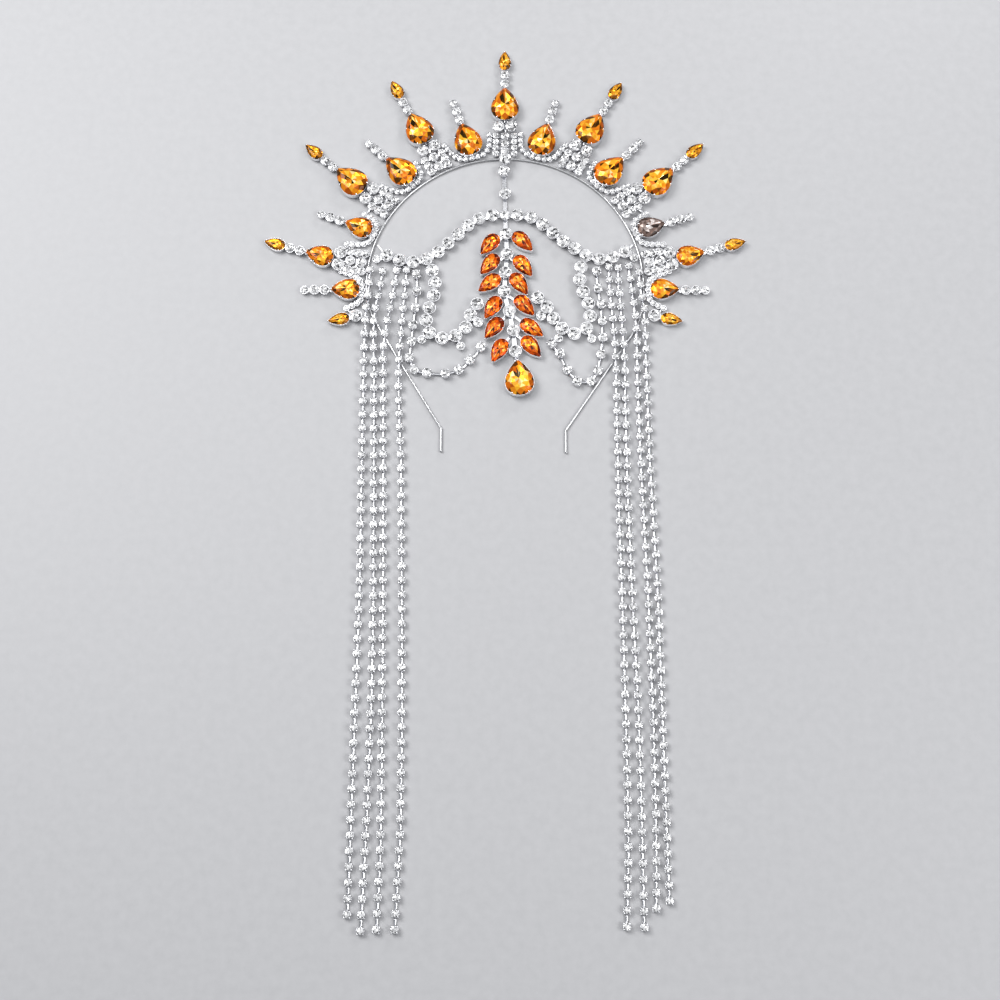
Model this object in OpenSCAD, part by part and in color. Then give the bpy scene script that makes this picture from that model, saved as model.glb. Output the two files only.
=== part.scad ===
// Crown headband: a wire hoop with a halo of stone rays, a brow chain, a leaf strand and a fringe.
// It lies flat. X runs to the right, Y to the crown's top, and Z up from the table.
// The origin is the centre of the hoop's half circle, on the table.

/* [Hoop] */
// Radius of the half circle, to the middle of the wire
hoop_r = 68.4; // [68.2:0.1:68.5]
// Thickness of the hoop's wire
wire_d = 1; // [0.9:0.1:1.2]
// Radius of the bend from the half circle to each leg
bend_r = 40; // [36:1:44]
// Lean of the left leg towards the middle, in degrees
left_lean = 31; // [30:1:32]
// Length of the left leg
left_leg = 62; // [60:1:66]
// Lean of the right leg towards the middle, in degrees
right_lean = 34; // [33:1:35]
// Length of the right leg
right_leg = 58; // [56:1:62]
// How far the right side runs straight down before it bends
right_drop = 4; // [3:1:5]
// Length of each turned-down tip
tip_len = 11; // [8:1:14]

/* [Pear stones] */
// Length of a large pear stone
big_len = 17.4; // [17:0.1:17.6]
// Width of a large pear stone
big_wide = 13.4; // [13:0.1:13.6]
// Length of a medium pear stone
medium_len = 13.6; // [13:0.1:13.8]
// Width of a medium pear stone
medium_wide = 10.1; // [9.6:0.1:10.3]
// Length of the pear stone at a ray's tip
small_len = 10; // [9.5:0.1:10.2]
// Width of the pear stone at a ray's tip
small_wide = 5.6; // [5:0.1:5.8]
// Length of a leaf stone
leaf_len = 12.8; // [12:0.1:13]
// Width of a leaf stone
leaf_wide = 7.2; // [6.8:0.1:7.4]

/* [Round cups] */
// Width of the cups of the brow chain, the upper swags and the leaf strand
large_cup = 6.4; // [6:0.1:6.5]
// Width of the pair of cups under each tall ray's stone
pair_cup = 6.1; // [5.8:0.1:6.2]
// Width of the cups on a ray's stem
stem_cup = 4.8; // [4.5:0.1:4.9]
// Width of the small cups packed between a tall ray and the hoop
small_cup = 4.1; // [3.9:0.1:4.1]
// Width of the small cups down each side of the top ray
top_row_cup = 3.3; // [3.1:0.1:3.5]
// Width of the cups of the scallop chains
scallop_cup = 3; // [2.8:0.1:3.1]
// Width of the lower swags
swag_d = 4.8; // [4.5:0.1:4.9]
// Width of the fringe strands
fringe_d = 3.9; // [3.6:0.1:3.9]

/* [Metal] */
// Wall of a cup
wall = 0.3; // [0.25:0.05:0.35]
// Gap between a stone and its cup
play = 0.15; // [0.13:0.01:0.17]
// Thickness of the flat bars that join the cups
bar_h = 0.7; // [0.6:0.1:0.8]
// Width of the flat bars
bar_w = 0.9; // [0.8:0.1:1.2]
// Width of the links between the cups of the brow chain and the swags
link_w = 1.3; // [1.1:0.1:1.5]
// Width of the leaf strand's stem
stem_w = 2; // [1.6:0.1:2.2]

/* [Hidden] */
$fn = 40;
wire_r = wire_d / 2;
cup_floor = 0.5;
foot = 0.78;             // a cup's foot, as a share of its rim
scallop_h = 1.8;
culet_z = 0.75;          // lowest point of every stone
clear_gap = 0.15;        // between a piece and the wire that it hangs on
tip_r = wire_r + 0.25;   // blob at each end of the hoop, which rests on the table
wire_z = tip_r;          // height of the wire's middle
joint_r = wire_r + 0.05; // small bead that joins two stretches of the wire
over_wire = wire_d + 0.5; // height of the hook's cup, which lies over the wire

// Each kind of pear stone: length, width, girdle height, crown height
BIG = [big_len, big_wide, 4.0, 1.9];
MEDIUM = [medium_len, medium_wide, 3.6, 1.6];
SMALL = [small_len, small_wide, 2.6, 1.1];
LEAF = [leaf_len, leaf_wide, 3.1, 1.2];

// Arms of a scallop, from the ray's middle outwards: [distance from the hoop's centre, side]
TOP_ARM = [[70.5, 0], [70.6, 3.1], [71.2, 6.2], [73, 8.7], [75.4, 10.3], [78.2, 11.1], [81.1, 11.8]];
CLOSE_ARM = [[70.5, 0], [70.7, 3], [71.4, 5.8], [73.4, 7.8], [76.2, 8.5], [79.2, 9], [82, 9.8]];
WIDE_ARM = [[70.5, 0], [70.7, 3], [71.4, 5.8], [73.2, 7.9], [75.6, 9.3], [78.2, 10.6], [80.7, 11.8]];

// Rays of one side, from the top down. Columns: degrees from the top, lean of the stem away from the
// top on the left side and on the right, reach from the hoop's centre to the main stone, main stone,
// kind of ray, and a short ray's scallop arms above and below, each with its count of stones
TOP_RAY = [0, 0, 97.6, BIG, "tall"];
SIDE_RAYS = [
    [13.8, 5, 3.5, 80.3, BIG, "short", [TOP_ARM, 6], [WIDE_ARM, 6]],
    [27.6, -0.5, 3, 94.8, BIG, "tall"],
    [41, 5, 2.5, 80.8, BIG, "short", [CLOSE_ARM, 5], [WIDE_ARM, 6]],
    [54.4, -5, -6.5, 95.2, BIG, "tall"],
    [67.4, 1.5, 6, 78.8, MEDIUM, "short", [CLOSE_ARM, 5], [WIDE_ARM, 6]],
    [80.7, -6.5, -6.5, 93, MEDIUM, "tall"],
    [92.2, -2.5, -1.5, 78.6, MEDIUM, "short", [WIDE_ARM, 6], [WIDE_ARM, 5]],
    [102.8, -2, -2, 83.5, SMALL, "low"]
];
// A side ray's row as it is on the left (1) or the right (2)
function side_ray(row, side) = [row[0], row[side], row[3], row[4], row[5], row[6], row[7]];
LEFT_RAYS = [for (row = SIDE_RAYS) side_ray(row, 1)];
RIGHT_RAYS = [for (row = SIDE_RAYS) side_ray(row, 2)];
// Columns of a ray
ANGLE = 0;
LEAN = 1;
REACH = 2;
STONE = 3;
KIND = 4;
UPPER_ARM = 5;
LOWER_ARM = 6;
function below_first(rays) = [for (i = [1:len(rays) - 1]) rays[i]];
function without(rays, kind) = [for (ray = rays) if (ray[KIND] != kind) ray];

// Packing of a tall ray's small cups between the hoop and the pair of cups
inner_out = 70.9;        // from the hoop's centre to the innermost small cups
row_side = 4.7;          // from the ray's middle to its outer rows of small cups
pair_side = 3.3;         // from the ray's middle to each cup of the pair
row_gap = 4.9;           // along the ray, from the pair back to the last small cups of the outer rows
middle_gap = 5.4;        // and back to the last cup in the middle
stem_step = 5.1;

// The brow chain's two halves, from its outer end inwards
BROW_LEFT = [[-58.5, 15], [-51, 12], [-44.5, 11.5], [-39, 13], [-33.5, 16.5], [-23, 26.5], [-17.5, 32],
             [-12.5, 35.2], [-6.2, 36.6]];
BROW_RIGHT = [[59.5, 17], [52, 13.8], [46, 13], [40, 15], [29.5, 22], [18.5, 31.8], [12.8, 35.6],
              [6.4, 36.8]];
BROW_CUPS = 10;
// The small cup past each outer end
LEFT_END = [-63.6, 13.4];
RIGHT_END = [63.8, 14.2];

// The leaf strand's round cups, from the hoop down: [x, y, cup width]
STRAND_CUPS = [[-0.6, 60.9, 6.1], [0, 48.5, 6.1], [0, 36.8, 5.2], [0.5, 26.7, 6.1], [1, 15.8, 6.1],
               [0.2, 6.2, 6.1], [-0.5, -3.8, 6.1], [2, -14.2, 6.1], [4, -24.2, 6.1], [5, -35, 6.1]];
// The hook's cup above them, over the wire
HOOK_CUP = [0.1, 66.8, 6.1];
// Leaves, left then right, from the top down: [x, y, heading of the point in degrees, strand cup]
LEFT_LEAVES = [[-7.9, 20.6, -129, 3], [-7.9, 10, -129, 4], [-7.9, 0, -141, 5], [-6.4, -12.7, -121, 6],
               [-5.8, -23.4, -127, 7], [-3.2, -35, -118, 8]];
RIGHT_LEAVES = [[9, 22.2, -47, 3], [9.2, 9.2, -53, 4], [7.2, -0.3, -56, 5], [9.8, -11.7, -49, 6],
                [13.2, -23.4, -37, 7], [13, -33, -51, 8]];
DROP = [6.7, -48.8, 95];

// The swags: routes from the brow chain down and back up to the leaf strand
UPPER_LEFT = [[-35.9, 7.1], [-34.4, 0], [-35, -6], [-37, -12], [-38.6, -19], [-37, -25.5], [-30.5, -28.5],
              [-23.5, -27], [-19, -22.5], [-17, -16.5], [-13.6, -10.6]];
UPPER_RIGHT = [[37.4, 8.8], [36.6, 1.5], [38.6, -5], [41, -11], [41.6, -17.5], [39.5, -23.6], [33.5, -26.2],
               [27.8, -23.4], [23.4, -17.8], [20.4, -12], [16, -7.4]];
UPPER_CUPS = 11;
// Small end cups beside the upper swags: [x, y, cup width, swag cup that carries it]
LEFT_ENDS = [[-13.2, -20, 4.8, 9], [-21.6, -32.2, 4.1, 7], [-40.6, -28.8, 4.1, 5]];
RIGHT_ENDS = [[17.6, -16.6, 4.8, 9], [26.1, -28.1, 4.1, 7], [42.2, -28.4, 4.1, 5]];
LOWER_LEFT = [[-43.7, 8], [-43.6, 5.4], [-43.3, -3.5], [-44, -12.2], [-45, -21.3], [-45.7, -29.8],
              [-46.6, -38.2], [-44.2, -44.3], [-37.9, -46], [-29, -46.3], [-22.6, -44.4], [-17.2, -39.4],
              [-10.9, -31.6]];
LOWER_RIGHT = [[45, 9.4], [45.2, 7], [45.7, -2], [47.2, -10.4], [47.6, -19], [47.7, -27.7], [46.6, -36.4],
               [45, -44.8], [41.4, -50.2], [34.9, -50.4], [30.1, -44.2], [26.6, -36], [21.7, -29.9]];

tube_low = cos(22.5) * fringe_d / 2;    // from a strand's middle down to its flat underside
table_z = tube_low;
strand_lift = wire_z + wire_r + clear_gap + tube_low;
cup_lift = strand_lift + 1.3;           // where a strand also leans on the lowest ray's cup
// Routes of the fringe strands, from the brow down: [x, y, height of the strand's middle]
FRINGE_LEFT = [
    [[-66.4, 9.8, strand_lift], [-66.8, 3, strand_lift], [-67.3, -8, strand_lift], [-68, -13, cup_lift],
     [-68.2, -20, cup_lift], [-68.6, -26, strand_lift], [-68.7, -36, table_z], [-68.5, -90, table_z],
     [-68, -150, table_z], [-69, -215, table_z], [-70, -299.6, table_z]],
    [[-60, 11.5, table_z], [-61.4, 0, table_z], [-63, -9, strand_lift], [-64.1, -18, strand_lift],
     [-64.2, -28, strand_lift], [-63.7, -42, table_z], [-62.7, -90, table_z], [-61.5, -155, table_z],
     [-61.5, -205, table_z], [-62.4, -255, table_z], [-64, -306.6, table_z]],
    [[-53.3, 9, table_z], [-55.4, -6, table_z], [-57.4, -18, strand_lift], [-58.6, -26, strand_lift],
     [-59.4, -36, strand_lift], [-59.1, -48, table_z], [-58.1, -90, table_z], [-57, -155, table_z],
     [-56.2, -235, table_z], [-56, -272, table_z], [-57, -306, table_z]],
    [[-48.6, 8.5, table_z], [-49.7, -8, table_z], [-50.6, -20, table_z], [-51.2, -31, strand_lift],
     [-51.6, -46, strand_lift], [-51.4, -58, table_z], [-49.7, -90, table_z], [-48.3, -150, table_z],
     [-47.3, -215, table_z], [-47.2, -262, table_z], [-49, -306, table_z]]
];
FRINGE_RIGHT = [
    [[51.3, 10.8, table_z], [51.5, 0, table_z], [52.4, -12, table_z], [53, -23, table_z],
     [53.5, -30, strand_lift], [53.8, -46, strand_lift], [53.8, -62, table_z], [53.9, -112, table_z],
     [54.5, -155, table_z], [54.9, -235, table_z], [54.7, -272, table_z], [53.2, -304.6, table_z]],
    [[55.9, 10.9, table_z], [56, 0, table_z], [57, -14, table_z], [57.5, -24, strand_lift],
     [58.1, -38, strand_lift], [58.1, -52, table_z], [58.2, -100, table_z], [59.2, -155, table_z],
     [60.6, -205, table_z], [61, -245, table_z], [61, -305, table_z]],
    [[61, 11.8, table_z], [62.3, 0, table_z], [63, -9, strand_lift], [63.9, -18, strand_lift],
     [64.2, -29, strand_lift], [64.2, -43, table_z], [64.8, -90, table_z], [66.6, -155, table_z],
     [67.4, -215, table_z], [67.3, -262, table_z], [66.4, -297, table_z]],
    [[65.8, 10.6, strand_lift], [66.7, -2, strand_lift], [67.3, -8, strand_lift], [68, -13, cup_lift],
     [68.2, -20, cup_lift], [68.5, -27, strand_lift], [68.6, -37, table_z], [69.2, -90, table_z],
     [71.2, -155, table_z], [71.8, -230, table_z], [72.4, -293.8, table_z]]
];

SIDES = ["left", "right"];

// Heights of a round cup and of its stone's parts, from the cup's width
function cup_h(d) = 0.9 + 0.36 * d;
function stone_r(d) = d / 2 - wall - play;
function girdle_z(d) = cup_h(d) - 0.15;
function table_top_z(d) = cup_h(d) + 0.11 * d;

// Outline of a pear, its point along +X: the half width swells as sin(t) times a power of sin(t/2)
pear_sides = 32;         // sides of a pear cup, a multiple of its stone's 16
pear_power = 0.8;
pear_peak = 2 * atan(sqrt(1 + pear_power));
pear_norm = sin(pear_peak) * pow(sin(pear_peak / 2), pear_power);
function pear(length, width, n) = [for (i = [0:n - 1]) let (t = 360 * i / n)
    [length / 2 * cos(t), width / 2 * sin(t) * pow(abs(sin(t / 2)), pear_power) / pear_norm]];

// Points of a route: its length up to point i, the leg that holds a length, and the point there
function run(route, i) = i == 0 ? 0 : run(route, i - 1) + norm(route[i] - route[i - 1]);
function leg_of(route, s, i = 1) = i == len(route) - 1 || run(route, i) >= s ? i : leg_of(route, s, i + 1);
function at(route, s) = let (i = leg_of(route, s), a = route[i - 1], b = route[i])
    a + (b - a) * (s - run(route, i - 1)) / norm(b - a);
function spots(route, count) = let (whole = run(route, len(route) - 1))
    [for (k = [0:count - 1]) at(route, whole * k / (count - 1))];

// A ray's cups in its own frame, +X outwards from the hoop's centre: [x, y, cup width]
function half_cup(stone) = stone[0] / 2 + wall + play;
function on_stem(ray, a, d) = [ray[REACH] + a * cos(ray[LEAN]), -a * sin(ray[LEAN]), d];
function pair_x(ray) = ray[REACH] - half_cup(ray[STONE]) - 2.75;
function tall_cups(ray) = let (
        x = pair_x(ray),
        middle = ray[ANGLE] == 0 ? 3 : 2,
        middle_cup = middle == 3 ? small_cup : stem_cup,
        middle_x = inner_out + 1,
        first = half_cup(ray[STONE]) + stem_cup / 2 + 0.6)
    concat(
        [for (s = [-1, 1]) [x, s * pair_side, pair_cup]],
        [for (s = [-1, 1], k = [0:row_count(ray) - 1]) [row_x(ray, k), s * row_side, row_cup(ray)]],
        [for (k = [0:middle - 1])
            [middle_x + k * (x - middle_gap - middle_x) / (middle - 1), 0, middle_cup]],
        [for (k = [0:1]) on_stem(ray, first + k * stem_step, stem_cup)]);
function short_cups(ray) = let (first = half_cup(ray[STONE]) + stem_cup / 2 + 0.6)
    [for (k = [0:2]) on_stem(ray, first + k * (stem_step - 0.1 * k), k == 2 ? small_cup : stem_cup)];
function low_cups(ray) = [[ray[REACH] - half_cup(ray[STONE]) - pair_cup / 2 - 0.1, 0, pair_cup]];
function ray_cups(ray) = ray[KIND] == "tall" ? tall_cups(ray)
    : ray[KIND] == "short" ? short_cups(ray) : low_cups(ray);
// How far the small stone at a tall ray's tip lies past the main stone
function tip_past(ray) = ray[KIND] == "low" ? 0
    : half_cup(ray[STONE]) + stem_cup + stem_step + half_cup(SMALL) + 0.7;
// A short ray's scallop stones from the end of its upper arm to the end of its lower arm
function arm(ray, which, way) = let (squeeze = ray[STONE] == BIG ? 1 : 0.88)
    [for (k = [1:ray[which][1]]) let (p = ray[which][0][k]) [p[0], way * squeeze * p[1]]];
function backwards(list) = [for (i = [len(list) - 1:-1:0]) list[i]];
function scallop_spots(ray) = concat(
    backwards(arm(ray, UPPER_ARM, 1)), [ray[UPPER_ARM][0][0]], arm(ray, LOWER_ARM, -1));
// The outer rows of a tall ray: how many small cups, how wide, and how far out each one is
function row_count(ray) = ray[ANGLE] == 0 ? 4 : 3;
function row_cup(ray) = ray[ANGLE] == 0 ? top_row_cup : small_cup;
function row_x(ray, k) = inner_out + k * (pair_x(ray) - row_gap - inner_out) / (row_count(ray) - 1);

// A point of a ray's own frame as it lies on the crown's right side
function placed(ray, p) = let (a = 90 - ray[ANGLE])
    [p[0] * cos(a) - p[1] * sin(a), p[0] * sin(a) + p[1] * cos(a)];
// The last cup on a ray's upper (1) or lower (-1) side, where a tie to the next ray starts
function tie_spot(ray, way) = placed(ray,
    ray[KIND] == "tall" ? [row_x(ray, row_count(ray) - 1), way * row_side]
    : ray[KIND] == "low" ? [low_cups(ray)[0][0], 0]
    : let (spots = scallop_spots(ray)) way > 0 ? spots[0] : spots[len(spots) - 1]);

module cup(d) {
    cylinder(d1 = foot * d, d2 = d, h = cup_h(d));
}

module cup_pocket(d) {
    foot_d = foot * d + (1 - foot) * d * cup_floor / cup_h(d);
    translate([0, 0, cup_floor])
        cylinder(d1 = foot_d - 2 * wall, d2 = d - 2 * wall, h = cup_h(d) - cup_floor + 0.01);
}

// A round stone: a table, eight crown facets and eight pavilion facets
module round_stone(d) {
    n = 8;
    r = stone_r(d);
    table = [for (i = [0:n - 1]) [0.56 * r * cos(360 * i / n), 0.56 * r * sin(360 * i / n), table_top_z(d)]];
    girdle = [for (i = [0:n - 1]) [r * cos(360 * i / n), r * sin(360 * i / n), girdle_z(d)]];
    polyhedron(
        points = concat(table, girdle, [[0, 0, culet_z]]),
        faces = concat(
            [[for (i = [n - 1:-1:0]) i]],
            [for (i = [0:n - 1]) let (j = (i + 1) % n) [i, j, n + j, n + i]],
            [for (i = [0:n - 1]) let (j = (i + 1) % n) [n + i, n + j, 2 * n]]));
}

// A pear stone: a table, stars, kites and girdle facets above, and facets that meet in a culet below
module pear_stone(kind) {
    n = 16;
    half = n / 2;
    outline = pear(kind[0], kind[1], n);
    gz = kind[2];
    top = gz + kind[3];
    band = 0.15;
    table = [for (i = [0:half - 1]) [0.6 * outline[2 * i][0], 0.6 * outline[2 * i][1], top]];
    mids = [for (i = [0:half - 1])
        [0.84 * outline[2 * i + 1][0], 0.84 * outline[2 * i + 1][1], gz + band + 0.52 * (kind[3] - band)]];
    upper = [for (p = outline) [p[0], p[1], gz + band]];
    lower = [for (p = outline) [p[0], p[1], gz - band]];
    m = half;
    g = n;
    b = 2 * n;
    polyhedron(
        points = concat(table, mids, upper, lower, [[-0.1 * kind[0], 0, culet_z]]),
        faces = concat(
            [[for (i = [half - 1:-1:0]) i]],
            [for (i = [0:half - 1]) [i, (i + 1) % half, m + i]],
            [for (i = [0:half - 1]) [i, m + i, g + 2 * i]],
            [for (i = [0:half - 1]) [i, g + 2 * i, m + (i + half - 1) % half]],
            [for (i = [0:half - 1]) [m + i, g + 2 * i + 1, g + 2 * i]],
            [for (i = [0:half - 1]) [m + i, g + (2 * i + 2) % n, g + 2 * i + 1]],
            [for (j = [0:n - 1]) [g + j, g + (j + 1) % n, b + (j + 1) % n, b + j]],
            [for (j = [0:n - 1]) [b + j, b + (j + 1) % n, 3 * n]]));
}

// A pear cup: a narrower foot and a straight band round the girdle
module pear_cup(kind) {
    grow = 2 * (wall + play);
    foot_h = 0.4 * kind[2];
    linear_extrude(foot_h)
        polygon(pear(0.8 * kind[0], 0.8 * kind[1], pear_sides));
    translate([0, 0, foot_h - 0.4])
        linear_extrude(kind[2] - foot_h + 0.65)
            polygon(pear(kind[0] + grow, kind[1] + grow, pear_sides));
}

module pear_pocket(kind) {
    foot_h = 0.4 * kind[2];
    translate([0, 0, cup_floor])
        linear_extrude(foot_h)
            polygon(pear(0.6 * kind[0], 0.6 * kind[1], pear_sides));
    translate([0, 0, foot_h + 0.1])
        linear_extrude(kind[2])
            polygon(pear(kind[0] + 2 * play, kind[1] + 2 * play, pear_sides));
}

// A flat bar from one point to another
module bar(a, b, z = 0, w = bar_w, h = bar_h) {
    step = b - a;
    translate([a[0], a[1], z])
        rotate(atan2(step[1], step[0]))
            translate([0, -w / 2, 0])
                cube([norm([step[0], step[1]]), w, h]);
}

module on_ray(ray) {
    rotate(90 - ray[ANGLE])
        children();
}

module on_lean(ray) {
    translate([ray[REACH], 0, 0])
        rotate(-ray[LEAN])
            children();
}

module scallop(ray) {
    spots = scallop_spots(ray);
    for (p = spots)
        translate([p[0], p[1], 0])
            rotate(180)
                cylinder(d1 = foot * scallop_cup, d2 = scallop_cup, h = scallop_h);
    for (k = [1:len(spots) - 1])
        bar(spots[k - 1], spots[k]);
}

// Flat bars that carry a tall ray's cups
module tall_bars(ray) {
    x = pair_x(ray);
    bar([inner_out, 0], [ray[REACH], 0]);
    for (k = [0:row_count(ray) - 1])
        bar([row_x(ray, k), -row_side], [row_x(ray, k), row_side]);
    bar([x, -pair_side], [x, pair_side]);
    on_lean(ray)
        bar([0, 0], [tip_past(ray), 0]);
}

// Flat bars from each ray to the next one down
module ties(rays) {
    for (i = [1:len(rays) - 1])
        bar(tie_spot(rays[i - 1], -1), tie_spot(rays[i], 1));
}

module ray_metal(ray) {
    if (ray[KIND] == "tall")
        tall_bars(ray);
    if (ray[KIND] == "short") {
        scallop(ray);
        bar([CLOSE_ARM[0][0], 0], [ray[REACH], 0]);
        on_lean(ray)
            bar([0, 0], [half_cup(ray[STONE]) + 3 * stem_step - 2, 0]);
    }
    if (ray[KIND] == "low")
        bar([low_cups(ray)[0][0], 0], [ray[REACH], 0]);
    for (c = ray_cups(ray))
        translate([c[0], c[1], 0])
            cup(c[2]);
    on_lean(ray) {
        pear_cup(ray[STONE]);
        if (ray[KIND] == "tall")
            translate([tip_past(ray), 0, 0])
                pear_cup(SMALL);
    }
}

module ray_pockets(ray) {
    for (c = ray_cups(ray))
        translate([c[0], c[1], 0])
            cup_pocket(c[2]);
    on_lean(ray) {
        pear_pocket(ray[STONE]);
        if (ray[KIND] == "tall")
            translate([tip_past(ray), 0, 0])
                pear_pocket(SMALL);
    }
}

module ray_crystals(ray) {
    on_ray(ray)
        for (c = ray_cups(ray))
            translate([c[0], c[1], 0])
                round_stone(c[2]);
}

// A bead where two stretches of the wire meet, a hair's breadth apart
module wire_joint(p) {
    translate([p[0], p[1], 0])
        sphere(r = joint_r);
}

// One side of the hoop below the half circle: a straight drop, a bend, a leg and its tip
module hoop_side(drop, lean, leg_len) {
    short = 0.1;
    bend = [hoop_r - bend_r, -drop];
    leg_start = bend + bend_r * [cos(lean), -sin(lean)];
    leg_end = leg_start - leg_len * [sin(lean), cos(lean)];
    short_turn = short / bend_r * 180 / PI;
    wire_joint([hoop_r, 0]);
    if (drop > 0) {
        translate([hoop_r, -short, 0])
            rotate([90, 0, 0])
                cylinder(r = wire_r, h = drop - 2 * short);
        wire_joint([hoop_r, -drop]);
    }
    translate([bend[0], bend[1], 0])
        rotate(-lean + short_turn)
            rotate_extrude(angle = lean - 2 * short_turn)
                translate([bend_r, 0])
                    circle(r = wire_r);
    wire_joint(leg_start);
    translate([leg_start[0], leg_start[1], 0])
        rotate(-lean)
            translate([0, -short, 0])
                rotate([90, 0, 0])
                    cylinder(r = wire_r, h = leg_len - 2 * short);
    wire_joint(leg_end);
    translate([leg_end[0], leg_end[1] - short, 0])
        rotate([90, 0, 0])
            cylinder(r = wire_r, h = tip_len - short);
    translate([leg_end[0], leg_end[1] - tip_len, 0])
        sphere(r = tip_r);
}

module hoop() {
    short_turn = 0.1 / hoop_r * 180 / PI;
    color("silver")
        translate([0, 0, wire_z]) {
            rotate(short_turn)
                rotate_extrude(angle = 180 - 2 * short_turn)
                    translate([hoop_r, 0])
                        circle(r = wire_r);
            hoop_side(right_drop, right_lean, right_leg);
            mirror([1, 0, 0])
                hoop_side(0, left_lean, left_leg);
        }
}

// The top ray with the first short ray on each side of it
module halo_setting_top() {
    color("silver")
        difference() {
            union() {
                on_ray(TOP_RAY)
                    ray_metal(TOP_RAY);
                on_ray(RIGHT_RAYS[0])
                    ray_metal(RIGHT_RAYS[0]);
                ties([TOP_RAY, RIGHT_RAYS[0]]);
                mirror([1, 0, 0]) {
                    on_ray(LEFT_RAYS[0])
                        ray_metal(LEFT_RAYS[0]);
                    ties([TOP_RAY, LEFT_RAYS[0]]);
                }
            }
            on_ray(TOP_RAY)
                ray_pockets(TOP_RAY);
            on_ray(RIGHT_RAYS[0])
                ray_pockets(RIGHT_RAYS[0]);
            mirror([1, 0, 0])
                on_ray(LEFT_RAYS[0])
                    ray_pockets(LEFT_RAYS[0]);
        }
}

module halo_setting_side(rays) {
    color("silver")
        difference() {
            union() {
                for (ray = rays)
                    on_ray(ray)
                        ray_metal(ray);
                ties(rays);
            }
            for (ray = rays)
                on_ray(ray)
                    ray_pockets(ray);
        }
}

module halo_crystals_top() {
    color("white") {
        ray_crystals(TOP_RAY);
        ray_crystals(RIGHT_RAYS[0]);
        mirror([1, 0, 0])
            ray_crystals(LEFT_RAYS[0]);
    }
}

module halo_crystals_side(rays) {
    color("white")
        for (ray = rays)
            ray_crystals(ray);
}

module ray_stone(ray) {
    color("orange")
        on_ray(ray)
            on_lean(ray)
                pear_stone(ray[STONE]);
}

module tip_stone(ray) {
    color("darkorange")
        on_ray(ray)
            on_lean(ray)
                translate([tip_past(ray), 0, 0])
                    pear_stone(SMALL);
}

// Cups, the bars that link them and their pockets. Each place holds [x, y, cup width]
module linked_cups(places, w = link_w) {
    for (k = [0:len(places) - 1])
        translate([places[k][0], places[k][1], 0])
            cup(places[k][2]);
    for (k = [1:len(places) - 1])
        bar([places[k - 1][0], places[k - 1][1]], [places[k][0], places[k][1]], z = 0.4, w = w);
}

module pockets_of(places) {
    for (p = places)
        translate([p[0], p[1], 0])
            cup_pocket(p[2]);
}

module stones_of(places) {
    for (p = places)
        translate([p[0], p[1], 0])
            round_stone(p[2]);
}

function with_cup(points, d) = [for (p = points) [p[0], p[1], d]];

// A brow half's cups, from the small one beside the hoop inwards. Columns: [x, y, cup width]
function brow_cups(route, end_cup) =
    concat([[end_cup[0], end_cup[1], small_cup]], with_cup(spots(route, BROW_CUPS), large_cup));

// Half of the brow chain, which is soldered to the hoop's side
module brow_chain(route, end_cup, hoop_end) {
    places = brow_cups(route, end_cup);
    last = places[BROW_CUPS];
    strand_side = STRAND_CUPS[2][2] / 2 + clear_gap;
    color("silver")
        difference() {
            union() {
                linked_cups(places);
                bar([places[1][0], places[1][1]], hoop_end, z = 0.4);
                bar([last[0], last[1]], [sign(last[0]) * strand_side, last[1]], z = 0.4, w = link_w);
            }
            pockets_of(places);
        }
}

module leaf_cup(leaf) {
    translate([leaf[0], leaf[1], 0])
        rotate(leaf[2])
            pear_cup(LEAF);
}

module leaf_strand() {
    last = STRAND_CUPS[len(STRAND_CUPS) - 1];
    leaves = concat(LEFT_LEAVES, RIGHT_LEAVES);
    color("silver")
        difference() {
            union() {
                linked_cups(STRAND_CUPS, stem_w);
                bar([HOOK_CUP[0], HOOK_CUP[1]], [STRAND_CUPS[0][0], STRAND_CUPS[0][1]],
                    z = over_wire, w = stem_w);
                translate([HOOK_CUP[0], HOOK_CUP[1], over_wire])
                    cup(HOOK_CUP[2]);
                for (leaf = leaves) {
                    leaf_cup(leaf);
                    bar([leaf[0], leaf[1]], [STRAND_CUPS[leaf[3]][0], STRAND_CUPS[leaf[3]][1]], w = link_w);
                }
                bar([last[0], last[1]], [DROP[0], DROP[1]], w = stem_w);
                translate([DROP[0], DROP[1], 0])
                    rotate(DROP[2])
                        pear_cup(BIG);
            }
            pockets_of(STRAND_CUPS);
            translate([HOOK_CUP[0], HOOK_CUP[1], over_wire])
                cup_pocket(HOOK_CUP[2]);
            for (leaf = leaves)
                translate([leaf[0], leaf[1], 0])
                    rotate(leaf[2])
                        pear_pocket(LEAF);
            translate([DROP[0], DROP[1], 0])
                rotate(DROP[2])
                    pear_pocket(BIG);
        }
}

module leaf(place) {
    color("orangered")
        translate([place[0], place[1], 0])
            rotate(place[2])
                pear_stone(LEAF);
}

module drop_stone() {
    color("orange")
        translate([DROP[0], DROP[1], 0])
            rotate(DROP[2])
                pear_stone(BIG);
}

function swag_cups(route) = with_cup(spots(route, UPPER_CUPS), large_cup);

module upper_swag(route, ends) {
    places = swag_cups(route);
    color("silver")
        difference() {
            union() {
                linked_cups(places);
                for (e = ends) {
                    translate([e[0], e[1], 0])
                        cup(e[2]);
                    bar([e[0], e[1]], [places[e[3]][0], places[e[3]][1]], z = 0.4);
                }
            }
            pockets_of(places);
            pockets_of(ends);
        }
}

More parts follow.
